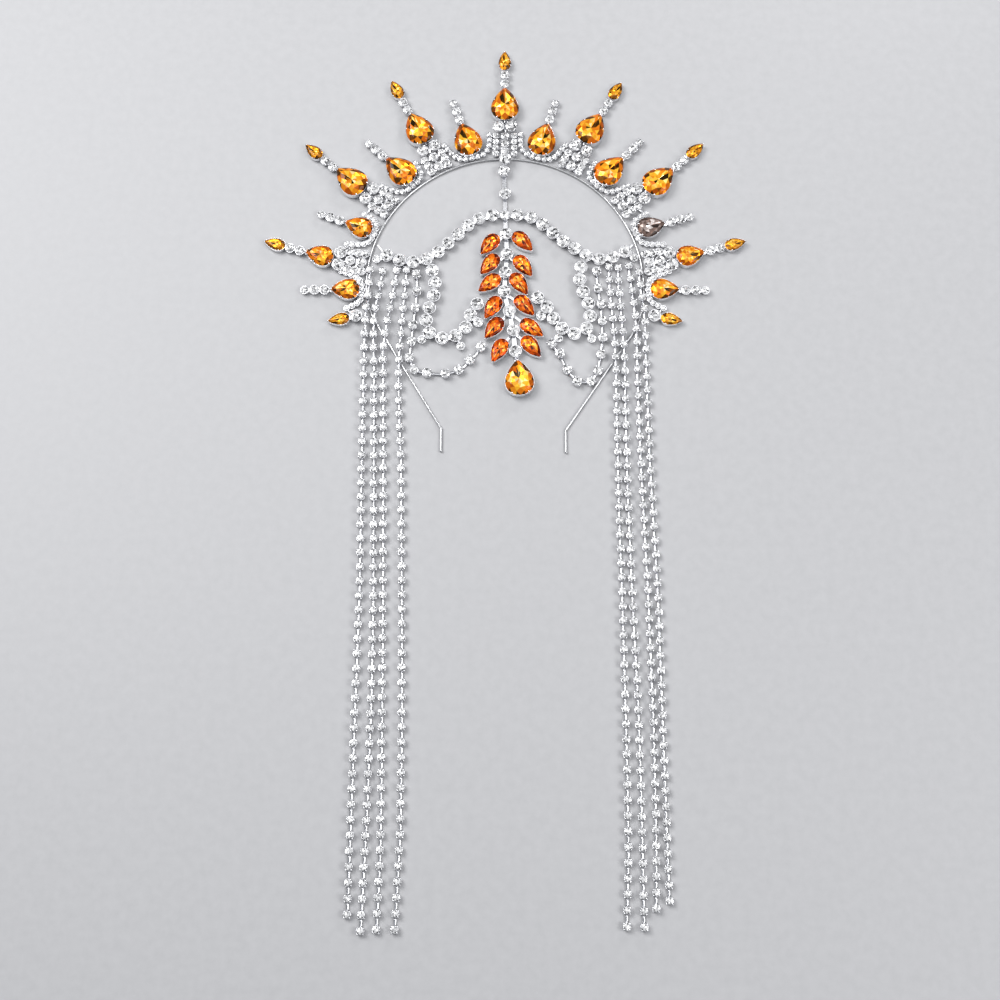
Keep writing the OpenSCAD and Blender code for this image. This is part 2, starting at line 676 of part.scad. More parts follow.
// The crystals of the brow chain, the leaf strand and the upper swags
module chain_crystals() {
    color("white") {
        stones_of(concat(
            brow_cups(BROW_LEFT, LEFT_END), brow_cups(BROW_RIGHT, RIGHT_END), STRAND_CUPS,
            swag_cups(UPPER_LEFT), LEFT_ENDS, swag_cups(UPPER_RIGHT), RIGHT_ENDS));
        translate([HOOK_CUP[0], HOOK_CUP[1], over_wire])
            round_stone(HOOK_CUP[2]);
    }
}

// Points no more than step apart along a route's own legs
function close_points(route, step) = concat(
    [for (i = [1:len(route) - 1])
        let (a = route[i - 1], b = route[i], n = ceil(norm(b - a) / step))
            for (k = [0:n - 1]) a + (b - a) * k / n],
    [route[len(route) - 1]]);

// A tube of eight sides along a route, one polyhedron. Its rings stand across the route in plan
module tube(route, d, step) {
    n = 8;
    r = d / 2;
    path = close_points(route, step);
    last = len(path) - 1;
    rings = [for (i = [0:last])
        let (way = path[min(i + 1, last)] - path[max(i - 1, 0)],
             across = [-way[1], way[0], 0] / norm([way[0], way[1]]))
            for (k = [0:n - 1]) let (t = 360 * (k + 0.5) / n)
                path[i] + r * (cos(t) * across + sin(t) * [0, 0, 1])];
    polyhedron(
        points = rings,
        faces = concat(
            [[for (k = [0:n - 1]) k]],
            [[for (k = [n - 1:-1:0]) last * n + k]],
            [for (i = [0:last - 1], k = [0:n - 1])
                let (a = i * n + k, b = i * n + (k + 1) % n) [a, a + n, b + n, b]]));
}

module lower_swag(route) {
    color("silver")
        tube([for (p = route) [p[0], p[1], cos(22.5) * swag_d / 2]], swag_d, 12);
}

module fringe(route) {
    color("silver")
        tube(route, fringe_d, 12);
}

hoop();
halo_setting_top();
mirror([1, 0, 0]) halo_setting_side(below_first(LEFT_RAYS));  // halo_setting_left
halo_setting_side(below_first(RIGHT_RAYS));  // halo_setting_right
halo_crystals_top();
mirror([1, 0, 0]) halo_crystals_side(below_first(LEFT_RAYS));  // halo_crystals_left
halo_crystals_side(below_first(RIGHT_RAYS));  // halo_crystals_right
brow_chain(BROW_LEFT, LEFT_END, [-63.3, 21.4]);  // brow_chain_left
brow_chain(BROW_RIGHT, RIGHT_END, [63.4, 21.6]);  // brow_chain_right
leaf_strand();
drop_stone();
upper_swag(UPPER_LEFT, LEFT_ENDS);  // upper_swag_left
upper_swag(UPPER_RIGHT, RIGHT_ENDS);  // upper_swag_right
chain_crystals();
lower_swag(LOWER_LEFT);  // lower_swag_left
lower_swag(LOWER_RIGHT);  // lower_swag_right
ray_stone(TOP_RAY);  // ray_stone_top
tip_stone(TOP_RAY);  // tip_stone_top
for (i = [1:7])
    mirror([1, 0, 0]) ray_stone(without(LEFT_RAYS, "low")[i - 1]);
for (i = [1:7])
    ray_stone(without(RIGHT_RAYS, "low")[i - 1]);
for (i = [1:4])
    mirror([1, 0, 0]) tip_stone(without(LEFT_RAYS, "short")[i - 1]);
for (i = [1:4])
    tip_stone(without(RIGHT_RAYS, "short")[i - 1]);
for (i = [1:6]) leaf(LEFT_LEAVES[i - 1]);
for (i = [1:6]) leaf(RIGHT_LEAVES[i - 1]);
for (i = [1:4]) fringe(FRINGE_LEFT[i - 1]);
for (i = [1:4]) fringe(FRINGE_RIGHT[i - 1]);
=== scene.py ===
# %% [markdown]
# # A crown headband of glass stones
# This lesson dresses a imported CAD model: a wire hoop with a sunburst of stone rays, a brow chain, a strand
# of glass leaves with a drop, four swags and eight long strands of small stones.
# The CAD solids fix every size and place. Blender adds what they leave out: the cut of the stones, the
# claws that hold them, the cups and links of the fine chains, and the finish of glass and plated metal.

import bpy
import numpy as np
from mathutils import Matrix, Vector


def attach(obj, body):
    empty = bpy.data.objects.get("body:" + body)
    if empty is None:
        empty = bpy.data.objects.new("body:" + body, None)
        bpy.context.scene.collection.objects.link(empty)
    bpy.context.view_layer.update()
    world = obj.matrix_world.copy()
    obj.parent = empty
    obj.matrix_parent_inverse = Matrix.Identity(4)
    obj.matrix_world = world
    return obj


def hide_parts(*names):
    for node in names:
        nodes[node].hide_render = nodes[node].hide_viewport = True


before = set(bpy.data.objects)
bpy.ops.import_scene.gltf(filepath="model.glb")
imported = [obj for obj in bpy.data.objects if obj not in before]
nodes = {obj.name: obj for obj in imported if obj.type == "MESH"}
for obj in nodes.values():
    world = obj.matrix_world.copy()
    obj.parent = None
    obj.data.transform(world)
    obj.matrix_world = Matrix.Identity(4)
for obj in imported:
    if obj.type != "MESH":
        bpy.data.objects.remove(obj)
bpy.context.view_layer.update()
MM = 0.001

# %% [markdown]
# ## The camera
# The crown lies flat and is seen from almost straight above. A camera could be fitted by matching marks;
# here the object's sizes give it, so it is a place, the point that it looks at, and a lens of normal length.

# %% The camera
EYE = (-2.5, -267.9, 638)
AIM = (-2.5, -109.6, 3)


def added(name, data):
    """A new object of that data, linked to the scene."""
    thing = bpy.data.objects.new(name, data)
    bpy.context.scene.collection.objects.link(thing)
    return thing


camera_data = bpy.data.cameras.new("camera")
camera_data.lens = 49.86
camera_data.sensor_width = 36
camera_data.clip_start = 0.01
camera = added("camera", camera_data)
bpy.context.scene.camera = camera
camera.location = Vector(EYE) * MM
camera.rotation_euler = (Vector(AIM) - Vector(EYE)).to_track_quat("-Z", "Y").to_euler()
print("camera at", [round(x, 4) for x in camera.location])

# %% [markdown]
# ## Forms
# A stone, a claw or a cup is a small closed shell that comes back hundreds of times. Objects could be
# instanced, but one mesh for each chain is easier to carry, move and export. So a form here is an array of
# points with groups of faces, and copies of it are made as whole arrays.

# %% A form, and what can be done with it
METAL = 0
GLASS = 1
UP = np.array([0.0, 0.0, 1.0])
LEAST_LENGTH = 1e-12
TILT_STRAY = 0.09


def unit(vectors):
    """Every vector divided by its own length."""
    return vectors / np.maximum(np.linalg.norm(vectors, axis=-1, keepdims=True), LEAST_LENGTH)


def normals_of(points, faces):
    """The cross product of a face's two diagonals, or of two sides of a triangle, as a unit vector."""
    corners = points[faces]
    if faces.shape[1] == 3:
        return unit(np.cross(corners[:, 1] - corners[:, 0], corners[:, 2] - corners[:, 0]))
    half = faces.shape[1] // 2
    third = half // 2
    return unit(np.cross(corners[:, half] - corners[:, 0], corners[:, half + third] - corners[:, third]))


def swept_volume(points, groups):
    """The sum over all triangles of the box product of their corners, over 6. It is negative inside out."""
    total = 0.0
    for faces, *_ in groups:
        for k in range(1, faces.shape[1] - 1):
            a, b, c = points[faces[:, 0]], points[faces[:, k]], points[faces[:, k + 1]]
            total += np.einsum("ij,ij->", a, np.cross(b, c)) / 6
    return total


class Form:
    """Points, and groups of faces with one number of corners each. A group holds its faces, its finish,
    a shade from 0 to 1 for each face, how far the shade strays, and a mirror direction for each face."""

    def __init__(self, points, groups):
        self.points = points
        self.groups = groups


def filled(points, faces, finish, shade=0.5, stray=0.0, mirror=None):
    """A group with one shade for each face, and one mirror, which leans from the face by that vector."""
    flat = normals_of(points, faces)
    mirror = flat if mirror is None else unit(flat + mirror)
    return faces, finish, np.broadcast_to(shade, len(faces)), stray, mirror


def shell(points, groups):
    """A form of a closed shell, with its groups filled and its faces turned outwards."""
    if swept_volume(points, groups) < 0:
        groups = [(faces[:, ::-1], *rest) for faces, *rest in groups]
    return Form(points, [filled(points, *group) for group in groups])


def joined(forms):
    """One form of several, with each one's corners counted on from the last."""
    offsets = np.cumsum([0] + [len(form.points) for form in forms])
    groups = [(faces + offset, *rest)
              for form, offset in zip(forms, offsets) for faces, *rest in form.groups]
    return Form(np.concatenate([form.points for form in forms]), groups)


def copies(form, places, turns, rng):
    """The form at each place, turned by each matrix: p becomes turn times p plus place. Every copy of a
    facet strays a little in painted shade and in the tilt of its mirror, so no two stones sparkle alike."""
    count = len(places)
    points = np.einsum("mij,nj->mni", turns, form.points) + places[:, None, :]
    steps = np.arange(count)[:, None, None] * len(form.points)
    groups = []
    for faces, finish, shade, stray, mirror in form.groups:
        looks = np.einsum("mij,kj->mki", turns, mirror)
        shades = shade[None, :] + stray * (2 * rng.random((count, len(faces))) - 1)
        if finish == GLASS:
            looks = unit(looks + rng.normal(0, TILT_STRAY, looks.shape))
        groups.append(((faces[None] + steps).reshape(-1, faces.shape[1]), finish,
                       np.clip(shades, 0, 1).ravel(), stray, looks.reshape(-1, 3)))
    return Form(points.reshape(-1, 3), groups)


def turned(headings):
    """Matrices that turn +X to each heading in radians, about the vertical."""
    c, s, o, i = np.cos(headings), np.sin(headings), np.zeros_like(headings), np.ones_like(headings)
    return np.stack([np.stack([c, -s, o], -1), np.stack([s, c, o], -1), np.stack([o, o, i], -1)], -2)


def placed(form, middle, heading, rng):
    """One copy of the form, turned to a heading and moved to its middle."""
    return copies(form, np.array([[*middle, 0.0]]), turned(np.array([heading])), rng)


# %% From a form to a mesh object


def make_piece(name, form, finishes):
    """One mesh object at the origin of a form in millimetres, with the facets' facts on its faces."""
    mesh = bpy.data.meshes.new(name)
    groups, kinds, shades, _, looks = zip(*form.groups)
    sizes = np.concatenate([np.full(len(faces), faces.shape[1]) for faces in groups])
    corners = np.concatenate([faces.ravel() for faces in groups])
    mesh.vertices.add(len(form.points))
    mesh.vertices.foreach_set("co", (form.points * MM).astype(np.float32).ravel())
    mesh.loops.add(len(corners))
    mesh.loops.foreach_set("vertex_index", corners.astype(np.int32))
    mesh.polygons.add(len(sizes))
    mesh.polygons.foreach_set("loop_start", (np.cumsum(sizes) - sizes).astype(np.int32))
    slots = np.concatenate([np.full(len(faces), kind) for faces, kind in zip(groups, kinds)])
    used = sorted(set(slots.tolist()))
    mesh.polygons.foreach_set("material_index", np.searchsorted(used, slots).astype(np.int32))
    mesh.update(calc_edges=True)
    facet_shade = mesh.attributes.new("facet_shade", "FLOAT", "FACE")
    facet_shade.data.foreach_set("value", np.concatenate(shades).astype(np.float32))
    facet_mirror = mesh.attributes.new("facet_mirror", "FLOAT_VECTOR", "FACE")
    facet_mirror.data.foreach_set("vector", np.concatenate(looks).astype(np.float32).ravel())
    for finish in used:
        mesh.materials.append(finishes[finish])
    piece = added(name, mesh)
    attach(piece, "root")
    print(name, "faces:", len(sizes), "size in mm:", np.round(np.ptp(form.points, axis=0), 1).tolist())
    return piece


# %% [markdown]
# ## Maths on sockets
# A material is easier to read as sums than as wires. A small class wraps a socket and overloads + - *, so
# that 1 - mask * 0.3 adds its own Math nodes. All other nodes come from one method.

# %% Sockets that can be added and multiplied


class Sock:
    """An output socket that takes part in sums."""

    def __init__(self, kit, socket):
        self.kit = kit
        self.socket = socket

    def __add__(self, other):
        return self.kit.node("Math", {"operation": "ADD"}, {0: self, 1: other})["Value"]

    def __mul__(self, other):
        return self.kit.node("Math", {"operation": "MULTIPLY"}, {0: self, 1: other})["Value"]

    def __sub__(self, other):
        return self.kit.node("Math", {"operation": "SUBTRACT"}, {0: self, 1: other})["Value"]

    def __rsub__(self, other):
        return self.kit.node("Math", {"operation": "SUBTRACT"}, {0: other, 1: self})["Value"]

    __radd__ = __add__
    __rmul__ = __mul__


class Kit:
    """A material and the nodes that are added to it."""

    def __init__(self, name):
        self.material = bpy.data.materials.new(name)
        self.material.use_nodes = True
        self.tree = self.material.node_tree
        self.tree.nodes.clear()

    def node(self, kind, settings=None, inputs=None):
        """Adds a shader node with its settings, and values or links for its sockets. Gives its outputs."""
        node = self.tree.nodes.new("ShaderNode" + kind)
        for key, value in (settings or {}).items():
            if key == "stops":
                self.fill_ramp(node.color_ramp, value)
            else:
                setattr(node, key, value)
        for key, value in (inputs or {}).items():
            if isinstance(value, Sock):
                self.tree.links.new(value.socket, node.inputs[key])
            else:
                node.inputs[key].default_value = value
        return {output.name: Sock(self, output) for output in node.outputs}

    def fill_ramp(self, ramp, stops):
        """Gives a ramp its stops, each a place and a linear colour."""
        while len(ramp.elements) < len(stops):
            ramp.elements.new(0.5)
        for element, (place, colour) in zip(ramp.elements, stops):
            element.position = place
            element.color = (*colour, 1)

    def noise(self, scale, detail):
        """Noise of Object coordinates, in cycles a metre."""
        place = self.node("TexCoord")["Object"]
        return self.node("TexNoise", {}, {"Vector": place, "Scale": scale, "Detail": detail,
                                          "Roughness": 0.55})["Fac"]

    def surface(self, **inputs):
        """Ends the material in one Principled shader. Underscores stand for spaces."""
        named = {key.replace("_", " "): value for key, value in inputs.items()}
        shader = self.node("BsdfPrincipled", {}, named)["BSDF"]
        self.node("OutputMaterial", {}, {"Surface": shader})
        print("finish", self.material.name, "has", len(self.tree.nodes), "nodes")
        return self.material


# %% [markdown]
# ## Plated metal
# The settings, the wire and the chain cups are a cheap casting alloy with a bright rhodium-like plating.
# It is a mirror with small faults: cast grain, and dull, darker patches where it was handled. Its low places
# get a painted grey shade, darkest near the floor, and are also rougher, as the polishing wheel never
# reaches them. Height above the floor sets both.

# %% Plated metal finishes
PATCH_SCALE = 420
PATCH_ROUGHNESS = 0.16
# The painted shade is full below the first height and gone above the second; the wheel's polish is the
# reverse
SHADE_AND_POLISH_HEIGHTS = (0.1, 1.2)
WHEEL_POLISH = 0.05
# The colour of the painted shade in low places, as a share of the bright colour
SHADOW = 0.3
GRAIN_DEPTH = 0.04


def plated(name, bright, grain_scale, grain, dull):
    """Bright metal with a painted shade on its low places, which are also duller, and worn patches that are
    darker and duller: the colour follows 0.6 of the height and 0.4 of the patches."""
    kit = Kit(name)
    patches = kit.noise(PATCH_SCALE, 4)
    fine = kit.noise(grain_scale, 2)
    least, most = SHADE_AND_POLISH_HEIGHTS
    height = kit.node("SeparateXYZ", {}, {0: kit.node("TexCoord")["Object"]})["Z"] * (1 / MM)
    high = kit.node("MapRange", {}, {"Value": height, "From Min": least, "From Max": most})["Result"]
    # Painted shade, darker low down near the floor where shade falls, mixed with the darker worn patches
    painted_shade_and_wear = high * 0.6 + patches * 0.4
    dark = tuple(channel * SHADOW for channel in bright)
    colour = kit.node("ValToRGB", {"stops": [(0.15, dark), (0.7, bright)]}, {"Fac": painted_shade_and_wear})["Color"]
    bump = kit.node("Bump", {}, {"Height": fine, "Strength": grain, "Distance": GRAIN_DEPTH * MM})["Normal"]
    roughness = dull + patches * PATCH_ROUGHNESS - high * WHEEL_POLISH
    return kit.surface(Base_Color=colour, Metallic=1.0, Roughness=roughness, Normal=bump)


setting_metal = plated("rhodium_setting", (0.93, 0.93, 0.95), 5200, 0.25, 0.13)
chain_metal = plated("rhodium_chain", (0.9, 0.9, 0.92), 6400, 0.2, 0.15)
wire_metal = plated("steel_wire", (0.62, 0.62, 0.63), 2600, 0.15, 0.2)

# %% [markdown]
# ## Foiled glass
# The stones are cut glass with a mirror foil behind. What the eye sees is not the flat top: light passes
# it, bounces between foiled facets and comes back in patches, some bright, some black. Real refraction
# could be traced, but it is noisy and is lost in an export. So these patches are painted: each face carries
# the tilt of the mirror behind it and a painted shade of the light that comes back, the base layer
# reflects by that tilt, and a clear coat adds the polish on top.

# %% Foiled glass finishes
HAZE_SCALE = 900
HAZE_SHADE = 0.1
HAZE_ROUGHNESS = 0.12
GLASS_ROUGHNESS = 0.08


def foiled(name, stops):
    """Coloured glass over foil: the facet's painted shade, the light that its foil sends back, picks a
    colour, and a faint haze breaks it up.
    """
    kit = Kit(name)
    # Painted reflection of the foil: each facet's painted shade of bright or dark light
    shade = kit.node("Attribute", {"attribute_name": "facet_shade"})["Fac"]
    look = kit.node("Attribute", {"attribute_name": "facet_mirror"})["Vector"]
    haze = kit.noise(HAZE_SCALE, 2)
    tone = shade + (haze - 0.5) * HAZE_SHADE
    colour = kit.node("ValToRGB", {"stops": stops}, {"Fac": tone})["Color"]
    return kit.surface(Base_Color=colour, Metallic=0.35, Roughness=haze * HAZE_ROUGHNESS + GLASS_ROUGHNESS,
                       Normal=look, Specular_IOR_Level=0.0, Coat_Weight=0.35, Coat_Roughness=0.02)


# Colours from the darkest to the brightest painted shade; the top stops are painted glints
amber = foiled("amber_glass", [
    (0.0, (0.02, 0.011, 0.001)), (0.16, (0.12, 0.04, 0.003)), (0.3, (0.46, 0.09, 0.004)),
    (0.46, (0.76, 0.17, 0.007)), (0.62, (0.92, 0.33, 0.014)), (0.82, (1.0, 0.55, 0.04)),
    (1.0, (1.0, 0.85, 0.42))])
orange = foiled("orange_glass", [
    (0.0, (0.05, 0.005, 0.001)), (0.22, (0.26, 0.025, 0.002)), (0.45, (0.66, 0.085, 0.004)),
    (0.68, (0.9, 0.19, 0.008)), (0.86, (1.0, 0.38, 0.02)), (1.0, (1.0, 0.68, 0.16))])
honey = foiled("honey_glass", [
    (0.0, (0.03, 0.012, 0.002)), (0.25, (0.28, 0.09, 0.005)), (0.5, (0.68, 0.25, 0.012)),
    (0.78, (0.92, 0.46, 0.03)), (1.0, (1.0, 0.78, 0.25))])
smoky = foiled("smoky_glass", [
    (0.0, (0.02, 0.014, 0.012)), (0.3, (0.1, 0.066, 0.054)), (0.6, (0.24, 0.165, 0.14)),
    (0.85, (0.42, 0.33, 0.3)), (1.0, (0.8, 0.75, 0.72))])
clear = foiled("clear_crystal", [
    (0.0, (0.012, 0.012, 0.014)), (0.2, (0.05, 0.05, 0.055)), (0.34, (0.22, 0.22, 0.225)),
    (0.5, (0.5, 0.5, 0.505)), (0.75, (0.74, 0.74, 0.745)), (1.0, (0.86, 0.86, 0.86))])

# %% [markdown]
# ## Facets
# Round and pear stones are cut on one plan: a table, stars, kites and halves above the girdle, bands at the
# girdle, and a cone below. The table itself is one plane, but kites and triangles of the foil show through
# it, so it is divided as they lie. Each kind of facet could be typed out, but corner numbers of whole rings
# give all facets of a kind at once.

# %% Rings of corners and the facets between them


def ring_of(n, radius, z, turn=0.0):
    """n points round a circle: radius times the cosine and sine, at height z."""
    angle = 2 * np.pi * (np.arange(n) + turn) / n
    return np.stack([radius * np.cos(angle), radius * np.sin(angle), np.full(n, z)], 1)


def around(n):
    """The numbers from 0 round a ring of n, and the number after each."""
    i = np.arange(n)
    return i, (i + 1) % n


def numbered(rings):
    """The corner numbers of each ring, counted on from the last."""
    starts = np.cumsum([0] + [len(ring) for ring in rings])
    return [np.arange(a, b) for a, b in zip(starts, starts[1:])]


def crown_faces(table, mids, girdle):
    """Stars on the table's sides, kites on its corners, and the halves between them, down to a girdle with
    two corners for each one of the table."""
    i, j = around(len(table))
    stars = np.stack([table[j], table[i], mids[i]], 1)
    kites = np.stack([table[i], mids[i - 1], girdle[2 * i], mids[i]], 1)
    halves = np.concatenate([np.stack([mids[i], girdle[2 * i], girdle[2 * i + 1]], 1),
                             np.stack([mids[i], girdle[2 * i + 1], girdle[2 * j]], 1)])
    return stars, kites, halves


def band_faces(*rings):
    """Faces of four corners from each ring down to the next one of equal count."""
    i, j = around(len(rings[0]))
    return np.concatenate([np.stack([a[j], a[i], b[i], b[j]], 1) for a, b in zip(rings, rings[1:])])


def cone_faces(ring, tip):
    """A triangle from each side of a ring down to the tip."""
    i, j = around(len(ring))
    return np.stack([ring[j], ring[i], np.full(len(ring), tip[0])], 1)


# %% [markdown]
# ## Round stones
# A round chaton has a flat table, a ring of crown facets and a cone of foiled facets behind. Its girdle
# rests just over the rim of the cup, and the cone behind it hangs free in the pocket. The smallest stones
# have a plainer cut, because hundreds of them hang on the chains.

# %% Round stones
ROUND_SIDES = 8
CUP_WALL = 0.3
SEAT_PLAY = 0.08
# Shares of the radius: the table, the ring of foil seen in it, and the middle of the crown
ROUND_TABLE = 0.56
ROUND_HEART = 0.28
ROUND_MIDS = 0.8
MIDS_HEIGHT = 0.6
# Heights of the girdle's two edges over the rim
ROUND_GIRDLE = (0.12, 0.04)
TABLE_LEAN = 0.5
# The painted shade of each kind of facet, and how far it strays
ROUND_FACETS = {"table kite": (0.72, 0.5), "table side": (0.5, 0.45), "star": (0.56, 0.5),
                "kite": (0.74, 0.5), "half": (0.7, 0.5), "band": (0.7, 0.2), "cone": (0.3, 0.2)}


def round_table(rim, ring, heart):
    """Faces of a table: kites from the heart to each rim corner, and a triangle on each rim side. The
    mirrors lean out from the heart, every other one in, as foil behind a stone does."""
    n = len(rim)
    i, j = around(n)
    kites = np.stack([np.full(n, heart[0]), ring[i - 1], rim[i], ring[i]], 1)
    sides = np.stack([rim[i], rim[j], ring[i]], 1)
    lean = ring_of(n, TABLE_LEAN, 0.0)
    lean[1::2] *= -0.55
    return [(kites, GLASS, *ROUND_FACETS["table kite"], lean),
            (sides, GLASS, *ROUND_FACETS["table side"], -0.6 * lean)]


def round_stone(width, rim_z, table_z, culet_z, grow=0.15):
    """A round stone for a cup of that width: table, stars, kites, halves, girdle and cone."""
    n = ROUND_SIDES
    r = width / 2 - grow
    inner = width / 2 - CUP_WALL - SEAT_PLAY
    mid_z = rim_z + MIDS_HEIGHT * (table_z - rim_z)
    rings = [ring_of(n, ROUND_TABLE * r, table_z), ring_of(n, ROUND_HEART * r, table_z, 0.5),
             [[0, 0, table_z]], ring_of(n, ROUND_MIDS * r, mid_z, 0.5),
             *[ring_of(2 * n, r, rim_z + over) for over in ROUND_GIRDLE],
             ring_of(2 * n, inner, rim_z), [[0, 0, culet_z]]]
    table, heart_ring, heart, mids, girdle, under, seat, culet = numbered(rings)
    faces = dict(zip(("star", "kite", "half"), crown_faces(table, mids, girdle)))
    faces["band"] = band_faces(girdle, under, seat)
    faces["cone"] = cone_faces(seat, culet)
    return shell(np.concatenate(rings), [
        *round_table(table, heart_ring, heart),
        *[(faces[kind], GLASS, *ROUND_FACETS[kind]) for kind in faces]])


# %% The smallest round stones
SMALL_TABLE = 0.55
SMALL_GIRDLE = 0.1
SMALL_LEAN = 0.28
# The foil under the smallest stones is nearly flat, so their crowns mirror what is above them
UPWARD = 1.5 * UP
# The bright facets' painted shade and how far it strays, and the painted dark shade of every third notch
SMALL_BRIGHT = (0.86, 0.34)
SMALL_DARK = 0.06


def small_stone(width, rim_z, table_z, culet_z, grow, wall):
    """The plainer cut of the smallest stones: a table seen as 8 triangles, 16 crown facets, and a cone."""
    n = ROUND_SIDES
    r = width / 2 - grow
    rings = [ring_of(n, SMALL_TABLE * r, table_z), [[0, 0, table_z]], ring_of(n, r, rim_z + SMALL_GIRDLE),
             ring_of(n, width / 2 - wall - SEAT_PLAY, rim_z), [[0, 0, culet_z]]]
    table, heart, girdle, seat, culet = numbered(rings)
    i, j = around(n)
    lean = ring_of(n, SMALL_LEAN, 0.0, 0.5)
    lean[1::2] *= -0.6
    # Painted reflections: every third notch dark, the rest bright
    notch = np.where(i % 3 == 0, SMALL_DARK, SMALL_BRIGHT[0])
    return shell(np.concatenate(rings), [
        (np.stack([table[i], table[j], np.full(n, heart[0])], 1), GLASS, *SMALL_BRIGHT, lean),
        (np.stack([table[j], table[i], girdle[j]], 1), GLASS, notch, 0.2, UPWARD),
        (np.stack([table[i], girdle[i], girdle[j]], 1), GLASS, *SMALL_BRIGHT, UPWARD),
        (band_faces(girdle, seat), GLASS, 0.8, 0.2), (cone_faces(seat, culet), GLASS, 0.3, 0.2)])


print("a round stone has", sum(len(faces) for faces, *_ in round_stone(6, 3, 3.7, 0.75).groups), "faces")

# %% [markdown]
# ## Pear stones
# The large stones are pears: the half width swells as a sine times a power of a half-angle sine, which
# gives a round end and a point. Cutting the form from a block would work too, but rows of points at
# shares of one outline give clean facets and the same outline as the CAD solid that each one replaces.

# %% The outline of a pear
PEAR_POWER = 0.8
PEAR_SIDES = 24


def pear(length, width, n, turn=0.0):
    """Outline with its point along +X: x is half the length times cos t, y is half the width times sin t
    times the power of sin t/2, over that product's own peak."""
    t = 2 * np.pi * (np.arange(n) + turn) / n
    peak = 2 * np.arctan(np.sqrt(1 + PEAR_POWER))
    norm = np.sin(peak) * np.sin(peak / 2) ** PEAR_POWER
    side = width / 2 * np.sin(t) * np.abs(np.sin(t / 2)) ** PEAR_POWER / norm
    return np.stack([length / 2 * np.cos(t), side, np.zeros(n)], 1)


# %% The table of a pear
PEAR_LEAN = 0.35
# Painted dark and bright shades at the heart and outside it, and the rim's painted bright shade
HEART_SHADES = (0.03, 0.84)
OUTER_SHADES = (0.06, 0.76)
SIDE_SHADE = 0.78


def pear_table(rim, ring, heart, rng, first, look):
    """Faces of a pear's table: in each sector a triangle at the heart, one outside it and one on the rim.
    A few sectors are painted dark, as foil that mirrors the dark cup. The first of them, its neighbour and
    the rim triangle between them make a painted dark wedge."""
    darks, tone, stray, between = look
    n = len(rim)
    i, j = around(n)
    second = (first + 1) % n
    dark = np.zeros(n, bool)
    dark[[first, second]] = True
    dark[rng.choice(n, darks - 2, replace=False)] = True
    wide = (i == first) | (i == second)
    lean = ring_of(n, PEAR_LEAN, 0.0)
    lean[1::2] *= -0.5
    inner = np.stack([np.full(n, heart[0]), ring[i - 1], ring[i]], 1)
    outer = np.stack([ring[i - 1], rim[i], ring[i]], 1)
    sides = np.stack([rim[i], rim[j], ring[i]], 1)
    return [(inner, GLASS, np.where(dark, *HEART_SHADES) + tone, stray, lean),
            (outer, GLASS, np.where(wide, *OUTER_SHADES) + tone, stray, 0.6 * lean),
            (sides, GLASS, np.where(i == first, between, SIDE_SHADE) + tone, stray, -0.6 * lean)]


# %% A whole pear stone
OVERHANG = 0.3
# Shares of the outline, but the ring of foil is a share of the table
TABLE_SHARE = 0.64
RING_SHARE = 0.56
MIDS_SHARE = 0.83
DEEP_SHARE = 0.55
# How far the heart and the culet lie behind the middle, as shares of the length
HEART_BACK = 0.06
CULET_BACK = 0.1
# Heights over the rim of the girdle's two edges and of the seat
PEAR_GIRDLE = (0.15, 0.03)
PEAR_SEAT = -0.05
CROWN_MIDDLE = 0.55
DEEP_DROP = 0.6
# Painted shades and strays as a round stone's, with every other half painted darker
PEAR_FACETS = {"star": (0.54, 0.4), "kite": (0.44, 0.27), "band": (0.4, 0.1), "cone": (0.25, 0.2)}
HALF_SHADES = (0.25, 0.48)
HALF_STRAY = 0.36


def pear_stone(length, width, rim_z, table_z, culet_z, rng, first, look):
    """A pear cut: an open table with foil showing through it, stars, kites, halves, a girdle that lies on
    the cup's rim, and a cone that hangs in the cup."""
    n = PEAR_SIDES // 2
    tone = look[1]
    heart_x = -HEART_BACK * length
    outline = pear(length + 2 * OVERHANG, width + 2 * OVERHANG, 2 * n)
    seat = pear(length, width, 2 * n)
    ring = RING_SHARE * TABLE_SHARE * pear(length, width, n, 0.5) + [0.5 * heart_x, 0, 0]
    girdle_z, under_z = [rim_z + over for over in PEAR_GIRDLE]
    mid_z = girdle_z + CROWN_MIDDLE * (table_z - girdle_z)
    deep_z = rim_z - DEEP_DROP * (rim_z - culet_z)
    rings = [TABLE_SHARE * outline[::2] + UP * table_z, ring + UP * table_z, [[heart_x, 0, table_z]],
             MIDS_SHARE * outline[1::2] + UP * mid_z, outline + UP * girdle_z, outline + UP * under_z,
             seat + UP * (rim_z + PEAR_SEAT), DEEP_SHARE * seat + UP * deep_z,
             [[-CULET_BACK * length, 0, culet_z]]]
    table, heart_ring, heart, mids, girdle, under, edge, deep, culet = numbered(rings)
    stars, kites, halves = crown_faces(table, mids, girdle)
    half_shades = np.where(np.arange(2 * n) % 2 == 0, *HALF_SHADES) + tone
    star_shade, star_stray = PEAR_FACETS["star"]
    kite_shade, kite_stray = PEAR_FACETS["kite"]
    return shell(np.concatenate(rings), [
        *pear_table(table, heart_ring, heart, rng, first, look),
        (stars, GLASS, star_shade + tone, star_stray), (kites, GLASS, kite_shade + tone, kite_stray),
        (halves, GLASS, half_shades, HALF_STRAY),
        (band_faces(girdle, under, edge, deep), GLASS, *PEAR_FACETS["band"]),
        (cone_faces(deep, culet), GLASS, *PEAR_FACETS["cone"])])


# %% [markdown]
# ## Reading places from the CAD solids
# Every stone's place is already known: it is where its CAD solid is. The loose parts of a node's mesh are
# found by letting each corner take the lowest label among its neighbours until nothing changes.

# %% Loose parts of a CAD node
CULET = 0.75
# A cup's wall and the play in it
STONE_INSET = 0.45
# Corners that fall on the same step are one
STEPS_PER_MM = 1e4


